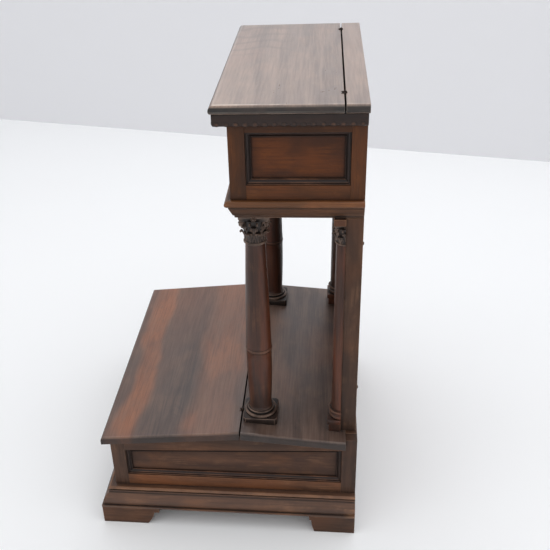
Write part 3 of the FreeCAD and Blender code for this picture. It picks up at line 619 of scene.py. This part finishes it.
# ---------------------------------------------------------------- boards and frames

def shade_under_band(node, share=0.62, darkening=0.6):
    """Painted shade on the cornice below its top band."""
    low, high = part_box(node)
    step = low.z + (high.z - low.z) * share

    def shade(spot):
        return darkening if spot.z < step else 0.0
    return shade


def bruised_end(bm, node, length=0.024, height=0.018):
    """Bare wood near the rear end of a moulding's lowest part, faded out over a length; the
    moulding gets a cross cut where the bruise ends."""
    low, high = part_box(node)
    for back in (length, length * 0.4):
        sliced(bm, (0, high.y - back, 0), (0, 1, 0), drop=False)

    def tips(spot):
        along = 1 - (high.y - spot.y) / length
        return limited(along * 1.6) if spot.z < low.z + height else 0.0
    return tips


def toward_rim(bm, node, border=0.030, darkening=0.55):
    """Painted shade toward a sunk panel's rim, where the frame shades it: its broad faces
    get an inner outline, clear inside, so that the shade fades over the border."""
    broad = [f for f in bm.faces if width_of(f) > border]
    bmesh.ops.inset_individual(bm, faces=broad, thickness=border, use_even_offset=True)
    low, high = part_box(node)
    thin = min(range(3), key=lambda axis: high[axis] - low[axis])
    span = [axis for axis in range(3) if axis != thin]

    def shade(spot):
        away = min(min(spot[axis] - low[axis], high[axis] - spot[axis]) for axis in span)
        return darkening * max(0.0, 1 - away / (border * 0.9))
    return shade


def plain_boards(finish):
    """Boards with one grain direction, each a softened copy of its solid."""
    rows = [
        ("chest_panel_left", "Y", "low_panel"),
        ("chest_panel_right", "Y", "low_panel"),
        ("chest_front_panel", "X", "low_panel"),
        ("chest_bottom_board", "X", "inner"),
        ("chest_back_board", "X", "inner"),
        ("chest_rear_rail", "X", "low_frame"),
        ("plinth_moulding_front", "X", "moulding"),
        ("plinth_moulding_left", "Y", "moulding"),
        ("plinth_moulding_right", "Y", "moulding"),
        ("half_column_blocks", "X", "column"),
        ("half_column_imposts", "Z", "impost"),
        ("back_post_left", "Z", "low_frame"),
        ("back_post_right", "Z", "low_frame"),
        ("cornice_moulding_front", "X", "cornice"),
        ("cornice_moulding_left", "Y", "cornice"),
        ("cornice_moulding_right", "Y", "cornice"),
        ("desk_bottom_board", "X", "inner"),
        ("desk_back_board", "X", "inner"),
        ("desk_panel_left", "Y", "panel"),
        ("desk_panel_right", "Y", "panel"),
        ("desk_front_panel", "X", "panel"),
    ]
    for seed, (node, along, name) in enumerate(rows, 11):
        bm, shade = soften(copy_of(node)), None
        if name == "cornice":
            # The cornice gets painted shade below its top band.
            shade = shade_under_band(node)
        elif name.endswith("panel"):
            shade = toward_rim(bm, node)
        tips = bruised_end(bm, node) if node == "plinth_moulding_right" else None
        shape = part(bm, along, seed, shade=shade, tips=tips)
        joined(node, [shape], finish[name])


def corner_spots(node, normal):
    """The four outer corners of an upright frame's opening piece, seen along its normal:
    low start, low end, high end, high start."""
    run = 1 - normal
    verts = [v.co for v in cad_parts[node].data.vertices]
    low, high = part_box(node)
    spots = []
    for place, pick in ((low[run], min), (high[run], min), (high[run], max),
                        (low[run], max)):
        spots.append((place, pick(v.z for v in verts if abs(v[run] - place) < 0.0002)))
    return spots


def jointed_frame(node, opening, normal, seed, finish, low_rail):
    """A frame as four boards: two full-height stiles and two rails between them, the lower
    rail in a finish of its own if one is given."""
    run = 1 - normal
    low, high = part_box(opening)
    axis = Vector((1, 0, 0)) if run == 0 else Vector((0, 1, 0))
    start, end = axis * low[run], axis * high[run]
    boards = ((trimmed(copy_of(node), start, axis), "Z"),
              (trimmed(copy_of(node), end, -axis), "Z"),
              (trimmed(trimmed(copy_of(node), start, -axis), end, axis), "XY"[run]))
    parts = [part(soften(bm, FINE_ARRIS), along, seed + number, wear_and_highlight_share=0.3)
             for number, (bm, along) in enumerate(boards)]
    if low_rail is not None:
        paint_below(parts[2], finish, low_rail, low.z)
    joined(node, parts, finish)


def paint_below(obj, upper, lower, height):
    """Give an object two finishes: one for the faces under a height, one for the rest."""
    obj.data.materials.append(upper)
    obj.data.materials.append(lower)
    for face in obj.data.polygons:
        face.material_index = 1 if face.center.z < height else 0


def frames(finish):
    for name, wood_of, seed in (("chest", "low_frame", 40), ("desk", "frame", 60)):
        low_rail = finish["low_rail"] if name == "chest" else None
        for hand, more in (("left", 0), ("right", 5)):
            jointed_frame("%s_frame_%s" % (name, hand),
                          "%s_panel_moulding_%s" % (name, hand), 0, seed + more,
                          finish[wood_of], low_rail)
        jointed_frame(name + "_front_frame", name + "_front_panel_moulding", 1, seed + 10,
                      finish[wood_of], low_rail)


def moulding_section(width, height):
    """Panel moulding in section: how far in from the frame, and how far out from the panel.
    A small torus by the frame, a long slope, and a bead against the panel."""
    torus, bead = 0.22 * width, 0.20 * width
    shoulder, crown, step_down = 0.80 * height, 0.20 * height, 0.62 * height
    slope = torus * 1.35
    section = [(0.0, 0.0), (0.0, shoulder)]
    for step in range(7):
        turn = math.radians(170 - step * 26.6)
        section.append((torus * 0.5 * (1 + math.cos(turn)),
                        shoulder + crown * math.sin(turn)))
    section += [(torus * 1.02, step_down), (slope, step_down)]
    for step in range(6):
        share = step / 5
        ease = share * share * (3 - 2 * share)
        section.append((slope + (width - bead * 1.2 - slope) * share,
                        (0.66 - 0.40 * ease) * height))
    middle = width - bead * 0.55
    bead_foot, bead_rise = 0.20 * height, 0.26 * height
    for step in range(7):
        turn = math.radians(180 - step * 30)
        section.append((middle + bead * 0.5 * math.cos(turn),
                        bead_foot + bead_rise * math.sin(turn)))
    section.append((width, 0.0))
    return section


def inward(corners, distance):
    """A four-sided outline moved in by a distance, corner by corner."""
    moved = []
    count = len(corners)
    for i in range(count):
        before, here, after = (Vector(corners[i - 1]), Vector(corners[i]),
                               Vector(corners[(i + 1) % count]))
        first, second = (here - before).normalized(), (after - here).normalized()
        left, right = Vector((-first.y, first.x)), Vector((-second.y, second.x))
        spread = 1 + left.dot(right)
        moved.append(here + (left + right) * (distance / spread))
    return moved


def panel_mouldings(finish, width=0.0095):
    """Mitred mouldings round the sunk panels, four runs each; the crests of the lowest run
    are lighter, partly scuffed and partly a painted highlight.
    """
    rows = [("chest_panel_moulding_left", 0, -1), ("chest_panel_moulding_right", 0, 1),
            ("desk_panel_moulding_left", 0, -1), ("desk_panel_moulding_right", 0, 1),
            ("chest_front_panel_moulding", 1, -1), ("desk_front_panel_moulding", 1, -1)]
    for number, (node, normal, side) in enumerate(rows):
        low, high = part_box(node)
        base = low[normal] if side > 0 else high[normal]
        section = moulding_section(width, high[normal] - low[normal])
        rings = [inward(corner_spots(node, normal), reach) for reach, _ in section]
        parts = []
        for run in range(4):
            rows_of_points = []
            for end in (run, (run + 1) % 4):
                points = []
                for ring, (_, height) in zip(rings, section):
                    flat = ring[end]
                    out = base + side * height
                    points.append((out, flat.x, flat.y) if normal == 0
                                  else (flat.x, out, flat.y))
                rows_of_points.append(points)
            bm = closed_shell(rows_of_points)
            along = "Z" if run % 2 else "XY"[1 - normal]
            # The lowest run's crests are lightened: partly scuffs, partly a painted
            # highlight where light from above catches them.
            parts.append(part(bm, along, 80 + 4 * number + run,
                              wear_and_highlight_share=0.75 if run == 0 else 0.08))
        joined(node, parts, finish["rim"])


def feet(finish, arris=0.0012, darkening=0.15):
    """Bracket feet, each of two leaves mitred at the corner."""
    for node, side, end in (("foot_front_left", -1, -1), ("foot_front_right", 1, -1),
                            ("foot_rear_left", -1, 1), ("foot_rear_right", 1, 1)):
        low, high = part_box(node)
        corner = Vector((low.x if side < 0 else high.x, low.y if end < 0 else high.y, 0))
        across = Vector((side, -end, 0)).normalized()
        leaves = ((trimmed(copy_of(node), corner, -across), "Y", 110),
                  (trimmed(copy_of(node), corner, across), "X", 130))
        parts = [part(soften(bm, arris), along, seed + side + 4 * end,
                      shade=lambda spot: darkening) for bm, along, seed in leaves]
        joined(node, parts, finish["low_frame"])


def back_panel(finish):
    """Upright boards behind the columns, butted edge to edge."""
    node = "back_panel"
    low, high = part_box(node)
    seams = [low.x, low.x + 0.148, low.x + 0.301, high.x]
    parts = []
    for number, (start, end) in enumerate(zip(seams, seams[1:])):
        bm = copy_of(node)
        if start > low.x:
            bm = trimmed(bm, (start, 0, 0), (-1, 0, 0))
        if end < high.x:
            bm = trimmed(bm, (end, 0, 0), (1, 0, 0))
        parts.append(part(soften(bm, FINE_ARRIS), "Z", 150 + number))
    joined(node, parts, finish["frame"])


def rim_of(bm, share):
    """Mark a thin painted highlight where a lid's top turns over to its side, most on the
    right side."""
    rub_and_highlight = rub_and_highlight_layer(bm)
    for face in bm.faces:
        if width_of(face) < FLAT_FROM:
            highlit = share if face.normal.x > 0.05 else share * 0.25
            face[rub_and_highlight] = highlit if 0.94 < face.normal.z < 0.995 else 0.0
    return bm


def lids(finish):
    """The boards that open and the fixed ones beside them, with painted shade on their sides
    and undersides.
    """
    rows = [("kneeler_lid", "kneeler_lid", "kneeler", "kneeler_top_wood", 160, 0.35),
            ("chest_fixed_top", "stand", "fixed_top", "kneeler_top_wood", 161, 0.35),
            ("desk_lid", "desk_lid", "desk", "desk_top_wood", 162, 0.9),
            ("desk_fixed_strip", "stand", "desk", "desk_top_wood", 163, 0.9)]
    for node, body, name, slot, seed, pale in rows:
        # A thin painted highlight along each lid's top arris.
        bm = rim_of(soften(copy_of(node), 0.0011), pale)
        bm.normal_update()
        bm.verts.index_update()
        facing = {v.index: v.normal.z for v in bm.verts}
        shape = part(bm, "X", seed)
        soiled = shape.data.attributes["soiled"]
        for loop in shape.data.loops:
            # Faces turned from the top get painted shade: the sides darker by slope, the
            # undersides a fixed amount.
            upward = facing[loop.vertex_index]
            side_shade = 1 - limited((upward - 0.55) / 0.40)
            if upward < -0.6:
                side_shade = 0.4
            soiled.data[loop.index].value = max(soiled.data[loop.index].value, side_shade)
        joined(node, [shape], finish[name], body)


# ---------------------------------------------------------------- pearls under the lid

def bead_rows(finish, pitch=0.0149, drop=0.0047, inset=0.0012):
    """The strips under the desk lid and the row of carved pearls on their lower edge."""
    tree = row_pattern(finish["moulding"])
    long_way, out, tall = 0.0112, 0.0052, 0.0092
    for number, (node, run) in enumerate((("bead_strip_front", 0), ("bead_strip_left", 1),
                                          ("bead_strip_right", 1))):
        low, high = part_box(node)
        strip = part(soften(copy_of(node), FINE_ARRIS), "XY"[run], 170 + number, wear_and_highlight_share=0.0)
        start, end = low.copy(), high.copy()
        start.z = end.z = low.z + drop
        size = (long_way, out, tall) if run == 0 else (out, long_way, tall)
        if run == 0:
            start.y = end.y = low.y + inset
        else:
            face = high.x - inset if node.endswith("right") else low.x + inset
            start.x = end.x = face
        margin = pitch * 0.55
        start[run] += margin
        end[run] -= margin
        count = round((end[run] - start[run]) / pitch) + 1
        row = tree.run({"Start": start, "End": end, "Count": count, "Size": size,
                        "Seed": 5 + number})
        face_line = start[1 - run]
        outward = -1 if (run == 0 or node.endswith("left")) else 1

        # Painted highlight on each pearl's outward tip.
        def tips(spot, line=face_line, way=outward, across=1 - run):
            return 0.40 * limited(((spot[across] - line) * way - 0.0020) / 0.0005)
        pearls = part(row, "XY"[run], 180 + number, tips=tips, wear_and_highlight_share=0.0)
        joined(node, [strip, pearls], finish["rim"])


# ---------------------------------------------------------------- columns

def lathe(profile, centre, segments=48, uneven=0.0, seed=1):
    """Turn a section of radius and height about an upright axis."""
    rings = []
    for radius, height in profile:
        ring = []
        for i in range(segments):
            turn = 2 * math.pi * i / segments
            wobble = 1 + uneven * noise.noise((math.cos(turn) * 2, math.sin(turn) * 2,
                                               height * 40 + seed))
            reach = max(radius, 0.00005) * wobble
            ring.append((centre.x + reach * math.cos(turn),
                         centre.y + reach * math.sin(turn), height))
        rings.append(ring)
    return closed_shell(rings)


def arc_points(centre, radius, first, last, steps):
    """Points on an arc in a section, angles in degrees."""
    turns = [math.radians(first + (last - first) * i / steps) for i in range(steps + 1)]
    return [(centre[0] + radius[0] * math.cos(turn), centre[1] + radius[1] * math.sin(turn))
            for turn in turns]


def column_profile(low, high, ring, bottom, waist, top):
    """Shaft in section: flared foot, swelling lower part, two fine grooves, slow taper."""
    flare, foot, groove_half, end = bottom * 1.07, 0.010, 0.0009, 0.004
    below, above = 0.0052, 0.0056
    points = [(flare, low)]
    points += arc_points((flare, low + 0.006), (bottom * 0.06, 0.0045), 250, 180, 4)
    points += [(bottom + (waist - bottom) * t + 0.0009 * math.sin(math.pi * t),
                low + foot + (ring - below - low - foot) * t)
               for t in [i / 8 for i in range(9)]]
    for groove in (-0.0036, 0.0036):
        points += [(waist + 0.0004, ring + groove - groove_half),
                   (waist - 0.0008, ring + groove),
                   (waist + 0.0004, ring + groove + groove_half)]
        if groove < 0:
            points += arc_points((waist, ring), (0.0012, 0.0024), -70, 70, 6)
    points += [(waist + (top - waist) * (t ** 1.15) + 0.0003 * math.sin(math.pi * t),
                ring + above + (high - end - ring - above) * t)
               for t in [i / 14 for i in range(1, 15)]]
    points += [(top + 0.0006, high)]
    return points


NECK, HALF_NECK = 0.0174, 0.0155       # radius of a shaft and of a half shaft at its top


def columns(finish, ring_height=0.137, far_shade=0.45):
    """Turned shafts, the bases they stand in, and the half columns on the posts; the left
    shaft is darkened all over with painted shade."""
    for hand in ("left", "right"):
        node = "column_shaft_" + hand
        low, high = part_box(node)
        profile = column_profile(low.z, high.z, low.z + ring_height, 0.0210, 0.0236, NECK)
        shaft = lathe(profile, (low + high) / 2, 64, uneven=0.004, seed=3)
        darkening = far_shade if hand == "left" else 0.0
        shape = part(shaft, "Z", 200 + len(hand), crease=40, turned=True,
                     shade=lambda spot: darkening)
        joined(node, [shape], finish["column"])
        for kind, arris, seed, name in (("column_base_", 0.0008, 210, "carved"),
                                        ("half_column_", FINE_ARRIS, 220, "column")):
            node = kind + hand
            shape = part(soften(copy_of(node), arris), "Z", seed + len(hand), crease=30,
                         turned=True)
            joined(node, [shape], finish[name])


# ---------------------------------------------------------------- carved capitals

CLIMB, CURL_OVER = 0.72, 0.28          # shares of a leaf's length


def leaf(radius, low, tip, reach, width, curl, lobes=3.0, around=12, along=18):
    """Acanthus leaf on the +X side of an upright axis: it climbs the bell, leans out and
    curls over at the tip; lobed edges, a raised rib and side veins."""
    thick = 0.0014
    rings = []
    for i in range(along + 1):
        t = i / along
        if t < CLIMB:
            share = t / CLIMB
            out = radius + reach * share ** 2.2
            height = low + (tip - curl - low) * share
            normal = Vector((1, 0, -reach / max(tip - low, 1e-4) * share * 1.3)).normalized()
        else:
            turn = (t - CLIMB) / CURL_OVER * math.radians(165)
            out = radius + reach + curl * (1 - math.cos(turn))
            height = tip - curl + curl * math.sin(turn)
            normal = Vector((math.cos(turn), 0, -math.sin(turn)))
        lobe = 0.80 + 0.20 * abs(math.sin(math.pi * lobes * t + 0.6))
        taper = 1.0 if t < 0.6 else math.sqrt(max(0.04, 1 - ((t - 0.6) / 0.43) ** 2))
        half = width * lobe * taper * (0.86 + 0.22 * math.sin(math.pi * min(1, t * 1.25)))
        upper, under = [], []
        for j in range(around + 1):
            s = 2 * j / around - 1
            rib = 0.0009 * math.exp(-(s / 0.16) ** 2)
            vein = 0.0005 * math.cos(math.pi * 3 * abs(s) - 2.4 * math.pi * t)
            drop = -0.0011 * s * s * (1 if t < CLIMB else 0.4)
            lift = rib + vein * (1 - t * 0.3) + drop
            side = half * s / max(out, 0.004)
            point = Vector((out * math.cos(side), out * math.sin(side), height))
            facing = Vector((normal.x * math.cos(side), normal.x * math.sin(side),
                             normal.z))
            upper.append(point + facing * lift)
            under.append(point - facing * thick)
        rings.append(upper + under[::-1])
    return closed_shell(rings)


def scroll(path, width, thick):
    """A band that follows a path of reach and height in the plane of the X axis."""
    rings = []
    for i, (reach, height) in enumerate(path):
        before, after = path[max(0, i - 1)], path[min(len(path) - 1, i + 1)]
        ahead = Vector((after[0] - before[0], 0, after[1] - before[1])).normalized()
        across = Vector((-ahead.z, 0, ahead.x))
        shrink = 1 - 0.35 * i / (len(path) - 1)
        ring = []
        for side, lift in ((-1, -1), (-1, 0.35), (-0.8, 1), (-0.35, 0.55), (0.35, 0.55),
                           (0.8, 1), (1, 0.35), (1, -1)):
            ring.append(Vector((reach, side * width / 2 * shrink, height))
                        + across * (lift * thick / 2))
        rings.append(ring)
    return closed_shell(rings)


def spiral_path(start, eye, radius, turns=1.6, steps=26, stem=6):
    """Stem from a starting spot up to the top of a spiral that winds in to its eye."""
    path = []
    top = (eye[0], eye[1] + radius)
    for i in range(stem):
        t = i / stem
        path.append((start[0] + (top[0] - start[0]) * t ** 1.4,
                     start[1] + (top[1] - start[1]) * (1 - (1 - t) ** 1.8)))
    for i in range(steps + 1):
        t = i / steps
        turn = math.radians(90) - t * turns * 2 * math.pi
        reach = radius * (1 - 0.80 * t)
        path.append((eye[0] + reach * math.cos(turn), eye[1] + reach * math.sin(turn)))
    return path


def abacus_shape(half, hollow, low, high):
    """Square slab with hollow sides, its upper edge stepped out."""
    def outline(reach, height):
        ring = []
        for side in range(4):
            turn = Matrix.Rotation(math.radians(90 * side), 3, "Z")
            for i in range(12):
                s = 2 * i / 12 - 1
                depth = hollow * (1 - s * s)
                ring.append(turn @ Vector((reach - depth, s * reach * 0.94, height)))
        return ring
    rise = high - low
    steps = ((0.90, 0.0), (0.93, 0.30), (0.96, 0.52), (0.965, 0.56), (1.0, 0.64))
    rings = [outline(half * share, low + rise * up) for share, up in steps]
    return closed_shell(rings + [outline(half, high)])


def blossom(reach, height, size):
    """Small carved flower on the +X side: six petals round a button."""
    rings = []
    for share, lift in ((1.0, 0.0), (0.96, 0.25), (0.70, 0.5), (0.42, 0.28), (0.34, 0.50),
                        (0.18, 0.62), (0.02, 0.66)):
        ring = []
        for i in range(30):
            turn = 2 * math.pi * i / 30
            petal = 1 + (0.16 * math.cos(6 * turn) if share > 0.5 else 0.0)
            ring.append((reach + size * lift, size * share * petal * math.cos(turn),
                         height + size * share * petal * math.sin(turn)))
        rings.append(ring)
    return closed_shell(rings)


def carved_capital(tree, centre, low, high, neck, half, full=True):
    """Leafy capital of two rows of leaves, corner scrolls and a hollow-sided top."""
    rise, grow = high - low, half / 0.027
    collar = low + 0.048 * rise
    leaves_low = low + 0.105 * rise
    eye_height = low + 0.735 * rise
    slab = low + 0.84 * rise
    shapes = []

    def ring(bm, count, start, step=None):
        ornament = as_object(bm, "ornament")
        shapes.append(tree.run({"Ornament": ornament, "Count": count,
                                "Start": math.radians(start),
                                "Step": math.radians(step or 360 / count)}))
        bpy.data.objects.remove(ornament)

    bell = [(neck * 0.9, low), (neck + 0.0006, low)]
    bell += arc_points((neck + 0.0004, collar), (0.0026 * grow, 0.048 * rise), -80, 80, 6)
    bell += [(neck + 0.0003, leaves_low), (neck + 0.0018 * grow, low + 0.45 * rise),
             (neck + 0.0042 * grow, low + 0.62 * rise),
             (neck + 0.0066 * grow, low + 0.76 * rise), (neck + 0.0070 * grow, slab)]
    shapes.append(lathe(bell, Vector((0, 0, 0)), 48))
    shapes.append(abacus_shape(half, 0.0040 * grow, slab, high))

    leaves = 8 if full else 6
    short = leaf(neck + 0.0012, leaves_low, low + 0.42 * rise, 0.0030 * grow,
                 0.0072 * grow, 0.0021 * grow)
    ring(short, leaves, 22.5 if full else -150, 360 / leaves)
    tall = leaf(neck + 0.0006, leaves_low + 0.006 * grow, low + 0.64 * rise,
                0.0046 * grow, 0.0066 * grow, 0.0024 * grow)
    ring(tall, leaves, 0 if full else -180, 360 / leaves)

    eye = 0.0052 * grow
    path = spiral_path((neck + 0.004 * grow, low + 0.52 * rise),
                       (half * 1.20 - eye, eye_height), eye)
    ring(scroll(path, 0.0078 * grow, 0.0022 * grow), 4, 45)
    path = spiral_path((neck + 0.0024 * grow, low + 0.50 * rise),
                       (neck + 0.0066 * grow, eye_height), 0.0030 * grow, 1.3, 18)
    for start in (14, -14):
        ring(scroll(path, 0.0040 * grow, 0.0016 * grow), 4, start)
    flower = 0.0046 * grow
    ring(blossom(half - flower, low + 0.905 * rise, flower), 4, 0)

    whole = merged(shapes)
    bmesh.ops.translate(whole, verts=whole.verts, vec=(centre.x, centre.y, 0))
    return whole


def carved_tips(centre, low, high, neck, half):
    """How far a spot stands out of the carving, for leaf tips lightened partly by scuffs and
    partly as a painted highlight.
    """
    def tips(spot):
        away = math.hypot(spot.x - centre.x, spot.y - centre.y)
        share = (spot.z - low) / (high - low)
        surface = neck + 0.004 + (half * 1.05 - neck) * max(0.0, share - 0.1) ** 1.3
        return max(0.0, min(1.0, (away - surface) / 0.0032))
    return tips


def capitals(finish):
    """The whole capitals on the columns and the halves on the half columns."""
    tree = ring_pattern(finish["carved"])
    for hand in ("left", "right"):
        for kind, neck, seed in (("column", NECK, 230), ("half_column", HALF_NECK, 240)):
            node = "%s_capital_%s" % (kind, hand)
            full = kind == "column"
            low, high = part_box(node)
            half = (high.x - low.x) / 2
            centre = (low + high) / 2 if full else Vector(((low.x + high.x) / 2, high.y, 0))
            carving = carved_capital(tree, centre, low.z, high.z, neck, half, full)
            if not full:
                rim = sliced(carving, centre, (0, 1, 0))
                bmesh.ops.holes_fill(carving, edges=rim, sides=0)
            shape = part(carving, "Z", seed + len(hand), crease=50, turned=True,
                         tips=carved_tips(centre, low.z, high.z, neck, half))
            joined(node, [shape], finish["carved"])


# ---------------------------------------------------------------- ironwork

def ironwork(finish, arris=0.0004):
    """Hinge eyes, the wire loops in them, and the nails of the back panel."""
    rows = [("kneeler_hinge_eyes", "stand"), ("kneeler_hinge_loops", "kneeler_lid"),
            ("desk_hinge_eyes", "stand"), ("desk_hinge_loops", "desk_lid"),
            ("back_panel_nails", "stand")]
    for number, (node, body) in enumerate(rows):
        shape = part(soften(copy_of(node), arris), "Z", 250 + number, crease=40,
                     turned=True)
        joined(node, [shape], finish["iron"], body)


# ---------------------------------------------------------------- room, lamps and camera

def plain(name, colour, rough=0.9):
    """A dull even finish for the room."""
    f = Finish(name)
    surface = f.node("BsdfPrincipled", None, {"Base Color": colour, "Roughness": rough,
                                              "Specular IOR Level": 0.1})
    return f.output(surface)


def room(reach=9, height=5, spare=6):
    """Pale floor that ends at the foot of a pale wall well behind the stand. The wall's foot
    runs through two spots, with some to spare at either end."""
    def sheet(name, corners, material):
        mesh = bpy.data.meshes.new(name)
        mesh.from_pydata(corners, [], [tuple(range(len(corners)))])
        mesh.materials.append(material)
        in_scene(name, mesh)
    left, right = Vector((-2.188, -1.395, 0)), Vector((-1.622, 1.075, 0))
    run = (right - left).normalized()
    left, right = left - run * spare, right + run * spare
    forward, up = Vector((reach, 0, 0)), Vector((0, 0, height))
    sheet("floor", [left, left + forward, right + forward, right],
          plain("pale_floor", tone(247, 248, 249)))
    sheet("wall", [left, right, right + up, left + up],
          plain("pale_wall", tone(228, 228, 231)))


def lamp(name, place, target, size, power):
    """A square lamp of some size at a place, turned to a target."""
    data = bpy.data.lights.new(name, "AREA")
    data.shape = "RECTANGLE"
    data.size = data.size_y = size
    data.energy = power
    obj = in_scene(name, data)
    obj.location = place
    obj.rotation_mode = "QUATERNION"
    obj.rotation_quaternion = (Vector(target) - Vector(place)).to_track_quat("-Z", "Y")
    obj.visible_camera = False


def lighting():
    """An even pale sky, a broad lamp overhead, a weak one at the side, and one behind that
    gives the boards their sheen."""
    world = bpy.data.worlds.new("studio")
    bpy.context.scene.world = world
    world.use_nodes = True
    back = world.node_tree.nodes["Background"]
    back.inputs["Color"].default_value = (0.985, 0.99, 1.0, 1)
    back.inputs["Strength"].default_value = 0.86
    lamp("overhead", (-0.2, 0.8, 3.0), (0, 0, 0.3), 3.0, 24)
    lamp("side_window", (1.6, -2.4, 2.2), (0, 0, 0.4), 1.6, 5)
    lamp("back_window", (-2.0, 0.2, 1.75), (0, 0, 0.85), 2.2, 23)


def camera():
    """Camera a little above and almost straight at the stand's right side."""
    data = bpy.data.cameras.new("camera")
    obj = in_scene("camera", data)
    bpy.context.scene.camera = obj
    frame_side, focal = 550.0, 796.3
    middle_x, middle_y = 230.0, 270.4
    yaw, pitch, roll = math.radians(7.59), math.radians(30.08), math.radians(-3.10)
    data.sensor_width = 36.0
    data.lens = focal / frame_side * data.sensor_width
    data.shift_x = (frame_side / 2 - middle_x) / frame_side
    data.shift_y = (middle_y - frame_side / 2) / frame_side
    ahead = Vector((-math.cos(yaw) * math.cos(pitch), -math.sin(yaw) * math.cos(pitch),
                    -math.sin(pitch)))
    right = Vector((-math.sin(yaw), math.cos(yaw), 0))
    up = right.cross(ahead)
    right, up = (math.cos(roll) * right + math.sin(roll) * up,
                 math.cos(roll) * up - math.sin(roll) * right)
    turn = Matrix((right, up, -ahead)).transposed()
    obj.rotation_mode = "QUATERNION"
    obj.rotation_quaternion = turn.to_quaternion()
    obj.location = (1.4244, 0.1847, 1.2656)


# ---------------------------------------------------------------- the whole stand

wear_and_tone = finishes()
plain_boards(wear_and_tone)
frames(wear_and_tone)
panel_mouldings(wear_and_tone)
feet(wear_and_tone)
back_panel(wear_and_tone)
lids(wear_and_tone)
bead_rows(wear_and_tone)
columns(wear_and_tone)
capitals(wear_and_tone)
ironwork(wear_and_tone)
room()
lighting()
camera()
bpy.context.scene.view_settings.view_transform = "Standard"
